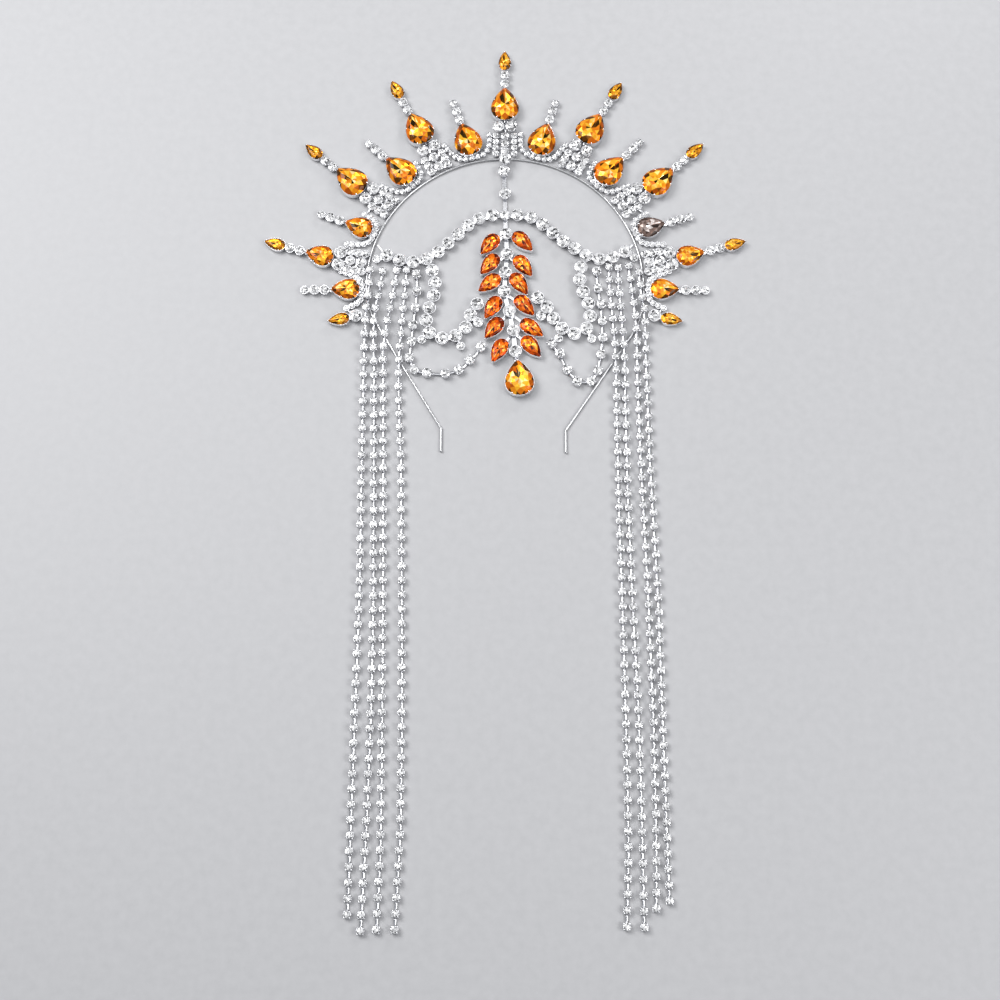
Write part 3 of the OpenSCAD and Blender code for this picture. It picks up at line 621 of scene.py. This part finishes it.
def merged(node):
    """A node's corners in millimetres with doubles merged, and its triangles."""
    mesh = nodes[node].data
    points = np.empty(len(mesh.vertices) * 3, np.float32)
    mesh.vertices.foreach_get("co", points)
    corners = np.empty(len(mesh.loops), np.int32)
    mesh.loops.foreach_get("vertex_index", corners)
    keys = np.round(points.reshape(-1, 3) / MM * STEPS_PER_MM).astype(np.int64)
    _, first, where = np.unique(keys, axis=0, return_index=True, return_inverse=True)
    faces = where.reshape(-1)[corners].reshape(-1, 3)
    whole = (faces[:, 0] != faces[:, 1]) & (faces[:, 1] != faces[:, 2]) & (faces[:, 0] != faces[:, 2])
    return points.reshape(-1, 3)[first].astype(float) / MM, faces[whole]


def labels_of(count, faces):
    """One label for all corners that hang together."""
    label = np.arange(count)
    while True:
        low = label[faces].min(axis=1)
        lower = label.copy()
        np.minimum.at(lower, faces.ravel(), np.repeat(low, 3))
        lower = lower[lower]
        if (lower == label).all():
            return label
        label = lower


def parts_of(node):
    """The points of each loose part of a node, the largest part first."""
    points, faces = merged(node)
    label = labels_of(len(points), faces)
    return sorted([points[label == name] for name in np.unique(label)], key=lambda part: -len(part))


def round_seat(points):
    """A round stone's middle, its cup's width, twice the reach and inset, and how far the cup is lifted."""
    middle = points.mean(axis=0)
    reach = np.linalg.norm((points - middle)[:, :2], axis=1).max()
    return middle[0], middle[1], round(2 * (reach + STONE_INSET), 1), points[:, 2].min() - CULET


def pear_seat(node):
    """A pear stone's middle, heading, length and width, and the heights of its culet, girdle and table."""
    points, _ = merged(node)
    flat = points[:, :2]
    apart = np.linalg.norm(flat[:, None] - flat[None], axis=2)
    a, b = np.unravel_index(apart.argmax(), apart.shape)
    culet = flat[points[:, 2].argmin()]
    base, tip = sorted((a, b), key=lambda end: np.linalg.norm(flat[end] - culet))
    along = (flat[tip] - flat[base]) / apart[a, b]
    side = (flat - flat[base]) @ np.array([-along[1], along[0]])
    heights = (points[:, 2].min(), points[[a, b], 2].mean(), points[:, 2].max())
    return (flat[tip] + flat[base]) / 2, np.arctan2(along[1], along[0]), apart[a, b], np.ptp(side), *heights


for node in ("halo_crystals_top", "chain_crystals", "leaf_strand"):
    print(node, "has", len(parts_of(node)), "loose parts")

# %% [markdown]
# ## Claws and cups
# Every stone is held by claws pressed over its girdle. A claw is a small tapered bar bent over a path; its
# cross-section is carried along the path as a grid of points. The same skin of rings makes a cup, whose
# profile runs up the outside, over the rim and down inside.

# %% Skins of rings, and claws
CLAWS = 4
# Shares of a claw's breadth and thickness at its foot, knee, shoulder and tip
CLAW_BREADTHS = np.array([1.0, 1.0, 0.85, 0.5])
CLAW_DEPTHS = np.array([1.0, 1.0, 0.95, 0.6])
SQUARE = np.array([[1, 1], [1, -1], [-1, -1], [-1, 1]])
# Metal doesn't stray, so draws for it change nothing
still = np.random.default_rng(1)


def skin(rings):
    """A closed shell of rings of equal count, with a flat cap on the first ring and one on the last."""
    count, n, _ = rings.shape
    i = np.arange(count - 1)[:, None]
    k = np.arange(n)[None, :]
    walls = np.stack([i * n + k, i * n + (k + 1) % n, (i + 1) * n + (k + 1) % n, (i + 1) * n + k], -1)
    caps = np.stack([np.arange(n)[::-1], (count - 1) * n + np.arange(n)])
    return shell(rings.reshape(-1, 3), [(walls.reshape(-1, 4), METAL), (caps, METAL)])


def claw(reach, rim_z, broad, over, rise, thick=0.24):
    """A claw in the plane of +X: up the cup's wall at reach, then inwards over the stone by over."""
    path = np.array([[reach - 0.06, rim_z - 0.8], [reach + 0.06, rim_z - 0.1],
                     [reach - 0.04, rim_z + 0.6 * rise], [reach - over, rim_z + rise]])
    way = unit(np.gradient(path, axis=0))
    out = np.stack([way[:, 1], -way[:, 0]], 1)
    wide = broad / 2 * CLAW_BREADTHS
    deep = thick / 2 * CLAW_DEPTHS
    rings = np.zeros((len(path), 4, 3))
    rings[..., [0, 2]] = path[:, None] + (out * deep[:, None])[:, None] * SQUARE[:, :1]
    rings[..., 1] = wide[:, None] * SQUARE[:, 1]
    return skin(rings)


def claws_round(width, rim_z, **shape):
    """Four claws spread round a cup, the first at 45 degrees."""
    angles = 2 * np.pi * (np.arange(CLAWS) + 0.5) / CLAWS
    return copies(claw(width / 2, rim_z, **shape), np.zeros((CLAWS, 3)), turned(angles), still)


# %% Claws of a pear
OUTLINE_POINTS = 720
WAY_POINTS = 3
CLAW_SINK = 0.01


def claws_on_pear(length, width, rim_z, spots, **shape):
    """Claws at degrees round a pear, each square to the line through the points on both sides of it."""
    fine = pear(length, width, OUTLINE_POINTS)
    at = np.array(spots) * OUTLINE_POINTS // 360
    way = unit(fine[at + WAY_POINTS] - fine[at - WAY_POINTS])
    headings = np.arctan2(-way[:, 0], way[:, 1])
    return copies(claw(0.0, rim_z, **shape), fine[at] - CLAW_SINK * UP, turned(headings), still)


# %% Cups of a chain
CHAIN_SIDES = 8
CHAIN_WALL = 0.28
SQUARENESS = 2.6
FOOT_SHARE = 0.8


def square_ring(radius, z):
    """A ring between a circle and a square: the radius over the power mean of |cos| and |sin|."""
    angle = 2 * np.pi * np.arange(CHAIN_SIDES) / CHAIN_SIDES
    mean = np.abs(np.cos(angle)) ** SQUARENESS + np.abs(np.sin(angle)) ** SQUARENESS
    reach = radius * mean ** (-1 / SQUARENESS)
    return np.stack([reach * np.cos(angle), reach * np.sin(angle), np.full(CHAIN_SIDES, z)], 1)


def chain_cup(width, rim_z):
    """A cup of a chain, open at the top, its profile turned round as a soft square."""
    r = width / 2
    profile = [(FOOT_SHARE * r, 0.0), (r, 0.45 * rim_z), (r, rim_z), (r - CHAIN_WALL, rim_z),
               (r - 1.3 * CHAIN_WALL, 0.5 * rim_z)]
    return skin(np.stack([square_ring(radius, z) for radius, z in profile]))


print("a claw has", sum(len(faces) for faces, *_ in claw(2, 2, 0.5, 0.45, 0.42).groups), "faces")

# %% [markdown]
# ## Amber, smoky and honey pears, and orange leaves
# Each stone replaces its CAD solid in the same place and size, only filling the play that the CAD leaves
# round it. The table is as high as the solid's. One upper stone on the right is smoky, as on the real one.

# %% Dressing the pear stones
FINISH_OF = {"ray_stone": amber, "drop_stone": amber, "tip_stone": honey, "leaf": orange}
# The table's painted dark sectors, how far all painted shades are moved, how far the table's stray, and
# the painted shade between the wedge's two sectors
LOOK_OF = {"ray_stone": (3, -0.09, 0.27, 0.12), "drop_stone": (3, -0.03, 0.22, 0.5),
           "tip_stone": (3, -0.16, 0.26, 0.2), "leaf": (3, -0.14, 0.38, 0.7)}
# The wedge's first sector, counted from the point: it looks outwards
WEDGE_LEFT = 1
WEDGE_RIGHT = PEAR_SIDES // 2 - 2
SMOKY_STONE = "ray_stone_right_5"
FILL = 0.2
RIM_OVER = 0.25
seats = {}
cut = np.random.default_rng(7)


def kind_of(node):
    """The kind of stone that a node's name starts with, or nothing."""
    return next((kind for kind in FINISH_OF if node.startswith(kind + "_") or node == kind), None)


for node in sorted(nodes):
    kind = kind_of(node)
    if kind is None or node == "leaf_strand":
        continue
    middle, heading, length, width, low, girdle, top = seats[node] = pear_seat(node)
    is_smoky = node == SMOKY_STONE
    wedge = WEDGE_RIGHT if "right" in node else WEDGE_LEFT
    form = pear_stone(length + FILL, width + FILL, girdle + RIM_OVER, top, low, cut, wedge, LOOK_OF[kind])
    finish = smoky if is_smoky else FINISH_OF[kind]
    stone = make_piece(node + "_cut", placed(form, middle, heading, cut), {GLASS: finish})
    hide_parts(node)

# %% [markdown]
# ## The crystals of the rays
# The white stones of the rays are three nodes of many loose solids. Their places and widths are read from
# the solids, one cut is made for each width, and it is copied to all of them at once. The crystals of the
# brow chain, the strand and the upper swags are a fourth such node.

# %% Round crystals with their claws
# A length in millimetres and a share of the cup's width: the height of a cup, the breadth of a claw
CUP_HEIGHT = (0.9, 0.36)
CLAW_BREADTH = (0.3, 0.05)
# Shares of the cup's width: the table over the rim, the claw's reach over the stone, the claw's rise
CRYSTAL_SHARES = (0.11, 0.11, 0.1)
TWIST = 0.2


def crystals_at(places, headings, rng):
    """Stones and claws for cups given as x, y, width and lift, the claws at 45 degrees to the headings."""
    forms = []
    for width in np.unique(places[:, 2]):
        mine = places[:, 2] == width
        rim, broad = [length + share * width for length, share in (CUP_HEIGHT, CLAW_BREADTH)]
        table_rise, over, rise = [share * width for share in CRYSTAL_SHARES]
        spots = places[mine][:, [0, 1, 3]]
        stone = round_stone(width, rim, rim + table_rise, CULET)
        claws = claws_round(width, rim, broad=broad, over=over, rise=rise)
        twist = rng.normal(0, TWIST, mine.sum())
        forms += [copies(stone, spots, turned(headings[mine] + twist), rng),
                  copies(claws, spots, turned(headings[mine]), rng)]
    return joined(forms)


def away_from_hoop(places):
    """Headings straight out from the hoop's centre."""
    return np.arctan2(places[:, 1], places[:, 0])


def to_nearest(places):
    """Headings from each cup to its nearest neighbour, which on a chain is the way that it runs."""
    apart = np.linalg.norm(places[:, None, :2] - places[None, :, :2], axis=2)
    np.fill_diagonal(apart, np.inf)
    near = places[apart.argmin(axis=1), :2] - places[:, :2]
    return np.arctan2(near[:, 1], near[:, 0])


for node in ("halo_crystals_top", "halo_crystals_left", "halo_crystals_right", "chain_crystals"):
    heading_of = to_nearest if node == "chain_crystals" else away_from_hoop
    places = np.array([round_seat(points) for points in parts_of(node)])
    crystals = make_piece(node + "_cut", crystals_at(places, heading_of(places), cut),
                          {METAL: setting_metal, GLASS: clear})
    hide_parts(node)
    print(node, "stones:", len(places))

# %% [markdown]
# ## Claws of the pear cups
# The large pear cups have claws at the point, on both shoulders and on both sides of the round end; the
# small cups of the tip and the leaves have three, one at the point. They are bent from the cup's straight
# wall, so each stands square to the outline where it grows.

# %% Claws over the pear stones
CLAW_SPOTS = {"ray_stone": (0, 75, 150, 210, 285), "drop_stone": (0, 75, 150, 210, 285),
              "tip_stone": (0, 120, 240), "leaf": (0, 115, 245)}
SMALL_CLAW = {"broad": 0.5, "over": 0.55, "rise": 0.42}
LARGE_CLAW = {"broad": 0.75, "over": 0.85, "rise": 0.55}
claw_forms = {"setting": [], "strand": []}
for node, (middle, heading, length, width, low, girdle, top) in seats.items():
    kind = kind_of(node)
    shape = SMALL_CLAW if kind in ("tip_stone", "leaf") else LARGE_CLAW
    form = claws_on_pear(length + 2 * STONE_INSET, width + 2 * STONE_INSET, girdle + RIM_OVER,
                         CLAW_SPOTS[kind], **shape)
    group = "strand" if kind in ("leaf", "drop_stone") else "setting"
    claw_forms[group].append(placed(form, middle, heading, still))
for name, finish, slot in (("setting", setting_metal, "setting_metal"),
                           ("strand", chain_metal, "rhinestone_chain")):
    pear_claws = make_piece(name + "_claws", joined(claw_forms[name]), {METAL: finish})

# %% [markdown]
# ## Small stones of the scallops
# A string of the smallest stones runs round the inner end of each short ray. The CAD has their solid
# cups; here each gets its stone, in the places that the two arms of the scallop give.

# %% Places of the scallop stones
SCALLOP_FOOT = 70.5
TOP_ARM = ((70.6, 3.1), (71.2, 6.2), (73, 8.7), (75.4, 10.3), (78.2, 11.1), (81.1, 11.8))
CLOSE_ARM = ((70.7, 3), (71.4, 5.8), (73.4, 7.8), (76.2, 8.5), (79.2, 9), (82, 9.8))
WIDE_ARM = ((70.7, 3), (71.4, 5.8), (73.2, 7.9), (75.6, 9.3), (78.2, 10.6), (80.7, 11.8))
# Degrees from the top, squeeze of the arms, then each arm with its count of stones
SCALLOPS = ((13.8, 1.0, TOP_ARM, 6, WIDE_ARM, 6), (41, 1.0, CLOSE_ARM, 5, WIDE_ARM, 6),
            (67.4, 0.88, CLOSE_ARM, 5, WIDE_ARM, 6), (92.2, 0.88, WIDE_ARM, 6, WIDE_ARM, 5))


def scallop_places(side):
    """Places of one side's scallop stones: each ray's own x and y, turned to the ray's angle."""
    places = []
    for degrees, squeeze, upper, upper_count, lower, lower_count in SCALLOPS:
        own = np.array([(SCALLOP_FOOT, 0.0), *[(x, squeeze * y) for x, y in upper[:upper_count]],
                        *[(x, -squeeze * y) for x, y in lower[:lower_count]]])
        a = np.radians(90 - degrees)
        x = own[:, 0] * np.cos(a) - own[:, 1] * np.sin(a)
        y = own[:, 0] * np.sin(a) + own[:, 1] * np.cos(a)
        places.append(np.column_stack([side * x, y, np.zeros(len(own))]))
    return np.concatenate(places)


scallop_spots = np.concatenate([scallop_places(-1), scallop_places(1)])
print("scallop stones:", len(scallop_spots))

# %% Scallop stones and their claws
SCALLOP_WIDTH = 3.0
SCALLOP_RIM = 1.8
# Heights of the stone's seat, table and culet over the rim
SCALLOP_CUT = np.array([0.02, 0.55, -0.1])
seed = small_stone(SCALLOP_WIDTH, *(SCALLOP_RIM + SCALLOP_CUT), grow=0.2, wall=0.45)
claws = claws_round(SCALLOP_WIDTH, SCALLOP_RIM, broad=0.45, thick=0.2, over=0.42, rise=0.4)
headings = away_from_hoop(scallop_spots)
scallop_forms = [copies(form, scallop_spots, turned(headings), cut) for form in (seed, claws)]
scallops = make_piece("scallop_stones", joined(scallop_forms), {METAL: setting_metal, GLASS: clear})

# %% [markdown]
# ## The fine chains
# The long strands and the lower swags are machine-made cup chain: a soft square cup, four claws, a small
# stone, and a tapered link to the next cup. The CAD holds each as a tube along a route. The same route
# points are written here. A strand's cups are set along it at the chain's own pitch, counted from the free
# end, and a swag's cups hang at the corners of its route.

# %% Routes of the strands
STRAND_WIDTH = 3.9
STRAND_PITCH = 6.79
# The tubes have eight sides and lie on a flat one, so their middle is this share of the radius up
TUBE_FLAT = np.cos(np.radians(22.5))
STRAND_BASE = TUBE_FLAT * STRAND_WIDTH / 2
# Heights of the middle: on the table, over the wire, and over the lowest ray's cup as well
LEVELS = np.cumsum([STRAND_BASE, 1.4, 1.3])
# Each point is x, y and the number of a level
STRANDS = {
    "fringe_left_1": (
        (-66.4, 9.8, 1), (-66.8, 3, 1), (-67.3, -8, 1), (-68, -13, 2), (-68.2, -20, 2), (-68.6, -26, 1),
        (-68.7, -36, 0), (-68.5, -90, 0), (-68, -150, 0), (-69, -215, 0), (-70, -299.6, 0)),
    "fringe_left_2": (
        (-60, 11.5, 0), (-61.4, 0, 0), (-63, -9, 1), (-64.1, -18, 1), (-64.2, -28, 1), (-63.7, -42, 0),
        (-62.7, -90, 0), (-61.5, -155, 0), (-61.5, -205, 0), (-62.4, -255, 0), (-64, -306.6, 0)),
    "fringe_left_3": (
        (-53.3, 9, 0), (-55.4, -6, 0), (-57.4, -18, 1), (-58.6, -26, 1), (-59.4, -36, 1), (-59.1, -48, 0),
        (-58.1, -90, 0), (-57, -155, 0), (-56.2, -235, 0), (-56, -272, 0), (-57, -306, 0)),
    "fringe_left_4": (
        (-48.6, 8.5, 0), (-49.7, -8, 0), (-50.6, -20, 0), (-51.2, -31, 1), (-51.6, -46, 1), (-51.4, -58, 0),
        (-49.7, -90, 0), (-48.3, -150, 0), (-47.3, -215, 0), (-47.2, -262, 0), (-49, -306, 0)),
    "fringe_right_1": (
        (51.3, 10.8, 0), (51.5, 0, 0), (52.4, -12, 0), (53, -23, 0), (53.5, -30, 1), (53.8, -46, 1),
        (53.8, -62, 0), (53.9, -112, 0), (54.5, -155, 0), (54.9, -235, 0), (54.7, -272, 0),
        (53.2, -304.6, 0)),
    "fringe_right_2": (
        (55.9, 10.9, 0), (56, 0, 0), (57, -14, 0), (57.5, -24, 1), (58.1, -38, 1), (58.1, -52, 0),
        (58.2, -100, 0), (59.2, -155, 0), (60.6, -205, 0), (61, -245, 0), (61, -305, 0)),
    "fringe_right_3": (
        (61, 11.8, 0), (62.3, 0, 0), (63, -9, 1), (63.9, -18, 1), (64.2, -29, 1), (64.2, -43, 0),
        (64.8, -90, 0), (66.6, -155, 0), (67.4, -215, 0), (67.3, -262, 0), (66.4, -297, 0)),
    "fringe_right_4": (
        (65.8, 10.6, 1), (66.7, -2, 1), (67.3, -8, 1), (68, -13, 2), (68.2, -20, 2), (68.5, -27, 1),
        (68.6, -37, 0), (69.2, -90, 0), (71.2, -155, 0), (71.8, -230, 0), (72.4, -293.8, 0)),
}

# %% Routes of the lower swags
SWAG_WIDTH = 4.8
SWAG_BASE = TUBE_FLAT * SWAG_WIDTH / 2
SWAGS = {
    "lower_swag_left": (
        (-43.7, 8), (-43.6, 5.4), (-43.3, -3.5), (-44, -12.2), (-45, -21.3), (-45.7, -29.8), (-46.6, -38.2),
        (-44.2, -44.3), (-37.9, -46), (-29, -46.3), (-22.6, -44.4), (-17.2, -39.4), (-10.9, -31.6)),
    "lower_swag_right": (
        (45, 9.4), (45.2, 7), (45.7, -2), (47.2, -10.4), (47.6, -19), (47.7, -27.7), (46.6, -36.4),
        (45, -44.8), (41.4, -50.2), (34.9, -50.4), (30.1, -44.2), (26.6, -36), (21.7, -29.9)),
}

# %% Going along a route
# How far before and behind a place the route's way is read
WAY_REACH = 1.5


def running_length(route):
    """The length of a route up to each of its points: the running sum of its legs."""
    return np.concatenate([[0], np.cumsum(np.linalg.norm(np.diff(route, axis=0), axis=1))])


def along_route(route, lengths):
    """Points at given lengths along a route, each coordinate read off the running length."""
    run = running_length(route)
    return np.stack([np.interp(lengths, run, route[:, k]) for k in range(route.shape[1])], 1)


def frames_along(route, lengths, swing):
    """Places on a route and matrices whose columns run along it, across it and up, swung a little."""
    along = unit(along_route(route, lengths + WAY_REACH) - along_route(route, lengths - WAY_REACH))
    across = unit(np.cross(UP, along))
    base = np.stack([along, across, np.cross(along, across)], -1)
    return along_route(route, lengths), np.einsum("mij,mjk->mik", base, turned(swing))


def even_spots(route, width, pitch):
    """Lengths of a strand's cups: the last is half a cup from the free end, the others a pitch apart, and
    the first stays clear of the start."""
    whole = running_length(route)[-1]
    count = int((whole - 0.55 * width) // pitch) + 1
    return whole - 0.5 * width - pitch * np.arange(count)[::-1]


def corner_spots(route, width):
    """Lengths of a swag's cups: the corners of its route, with the last one drawn back from the end."""
    run = running_length(route)
    return np.append(run[1:-1], run[-1] - 0.3 * width)


# %% [markdown]
# ## One link of chain, many times
# A cup, its claws and its stone make one form, and the link between two cups another. Both are copied to
# every place of the route at once. Each cup turns a few degrees, as loose chain does on a table.

# %% A link and a stretch of chain
# Places along a link as shares of its span, and the link's widths there
LINK_PLACES = np.array([-0.5, -0.2, 0.25, 0.5])
LINK_WIDTHS = np.array([1.5, 1.2, 1.25, 1.25])
LINK_HEIGHT = 0.75
LINK_THICKNESS = 0.42
# Shares of a chain's width
RIM_SHARE = 0.58
CLAW_STAND = 1.04
CLAW_REACH = 0.15
CUP_SHARE = 0.78
CUP_SHRINK = 0.2
SWING = 0.07


def chain_link(span):
    """A flat link along +X: rings of four corners that narrow from one end towards the other."""
    rings = np.zeros((4, 4, 3))
    rings[..., 0] = (LINK_PLACES * span)[:, None]
    rings[..., 1] = LINK_WIDTHS[:, None] / 2 * SQUARE[:, 1]
    rings[..., 2] = LINK_HEIGHT + LINK_THICKNESS / 2 * SQUARE[:, 0]
    return skin(rings)


def cup_chain(route, width, lengths, drop, rng, stone):
    """Cups, claws and stones at lengths along a route, and a link of the right span in each gap. A cup is
    raised where its slope would push the edge of its foot through the table: foot radius times the rise."""
    places, turns = frames_along(route, lengths, rng.normal(0, SWING, len(lengths)))
    feet = places - drop * turns[:, :, 2]
    edge = FOOT_SHARE * width / 2 * np.hypot(turns[:, 2, 0], turns[:, 2, 1])
    feet[:, 2] = np.maximum(feet[:, 2], edge)
    rim = RIM_SHARE * width
    cup = chain_cup(width - CUP_SHRINK, rim)
    claws = claws_round(CLAW_STAND * width, rim, broad=0.7, over=CLAW_REACH * width, rise=0.34)
    forms = [copies(form, feet, turns, rng) for form in (cup, claws, stone(width - CUP_SHRINK, rim))]
    middles = (lengths[1:] + lengths[:-1]) / 2
    gaps = np.round(np.diff(lengths), 1)
    for gap in np.unique(gaps):
        here, ways = frames_along(route, middles[gaps == gap], np.zeros(np.sum(gaps == gap)))
        forms.append(copies(chain_link(gap - CUP_SHARE * width), here - drop * ways[:, :, 2], ways, rng))
    return joined(forms)


# %% Fine chains


def strand_stone(width, rim):
    """The stone of a long strand: its table half a millimetre over the rim."""
    return small_stone(width, rim + 0.02, rim + 0.5, 0.3 * rim, grow=0.1, wall=CHAIN_WALL)


def swag_stone(width, rim):
    """The stone of a lower swag: its table a little higher over the rim."""
    return round_stone(width, rim, rim + 0.52, 0.3 * rim, grow=0.1)


chains = {}
for node, points in STRANDS.items():
    route = np.array([(x, y, LEVELS[level]) for x, y, level in points])
    spots = even_spots(route, STRAND_WIDTH, STRAND_PITCH)
    chains[node] = cup_chain(route, STRAND_WIDTH, spots, STRAND_BASE, cut, strand_stone)
for node, points in SWAGS.items():
    route = np.array([(x, y, SWAG_BASE) for x, y in points])
    spots = corner_spots(route, SWAG_WIDTH)
    chains[node] = cup_chain(route, SWAG_WIDTH, spots, SWAG_BASE, cut, swag_stone)
for node, form in chains.items():
    chain = make_piece(node + "_chain", form, {METAL: chain_metal, GLASS: clear})
    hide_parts(node)

# %% [markdown]
# ## Metal that stays
# The hoop, the ray settings, the brow chain, the leaf strand and the upper swags are right as the CAD made
# them, down to every cup and pocket. Their meshes could be copied and cleaned, but nothing needs it. They
# only get the plated finish, by filling the material slots that they came with.

# %% Finishes of the CAD nodes that stay
STAYING = {"hoop": wire_metal, "halo_setting": setting_metal, "brow_chain": chain_metal,
           "leaf_strand": chain_metal, "upper_swag": chain_metal}
for start, finish in STAYING.items():
    for node in [node for node in sorted(nodes) if node.startswith(start)]:
        for place in nodes[node].material_slots:
            place.material = finish
        print(node, "keeps its shape and gets", finish.name)

# %% [markdown]
# ## Table and light
# A pale table and large soft lights show plated metal best: the metal mirrors the lamps' edges, and the
# facets pick up either a lamp or the dimmer room, which adds to their painted bright and dark shades to make
# cut glass sparkle.

# %% Table
TABLE_REACH = 1.5
TABLE_DROP = 0.02
TABLE_TINTS = [(0.3, (0.44, 0.44, 0.45)), (0.7, (0.47, 0.47, 0.48))]
table_mesh = bpy.data.meshes.new("table")
table_corners = [(TABLE_REACH * x, TABLE_REACH * y, 0) for x, y in ((-1, -1), (1, -1), (1, 1), (-1, 1))]
table_mesh.from_pydata(table_corners, [], [(0, 1, 2, 3)])
table_top = added("table", table_mesh)
table_top.location.z = -TABLE_DROP * MM
table_kit = Kit("pale_table")
grain = table_kit.noise(220, 3)
tint = table_kit.node("ValToRGB", {"stops": TABLE_TINTS}, {"Fac": grain})["Color"]
table_mesh.materials.append(table_kit.surface(Base_Color=tint, Roughness=grain * 0.2 + 0.5))

# %% Lights
# Each lamp's name, place and size in metres, and power in watts. All aim at the crown's middle
CENTRE = (0.0, -0.1, 0.0)
LAMPS = (("key", (-0.7, 0.35, 0.95), 0.7, 13), ("fill", (0.8, -0.35, 0.8), 0.6, 6),
         ("over", (0.0, 0.25, 1.3), 0.7, 2.6), ("edge", (0.35, 0.55, 0.35), 0.15, 1.2))
for name, place, size, power in LAMPS:
    data = bpy.data.lights.new(name, "AREA")
    data.size = size
    data.energy = power
    lamp = added(name, data)
    lamp.location = place
    lamp.rotation_euler = (Vector(CENTRE) - Vector(place)).to_track_quat("-Z", "Y").to_euler()
world = bpy.data.worlds.new("room")
world.use_nodes = True
world.node_tree.nodes["Background"].inputs["Color"].default_value = (0.28, 0.29, 0.31, 1)
bpy.context.scene.world = world
bpy.context.scene.view_settings.view_transform = "Standard"
print("lamps:", [name for name, *_ in LAMPS])
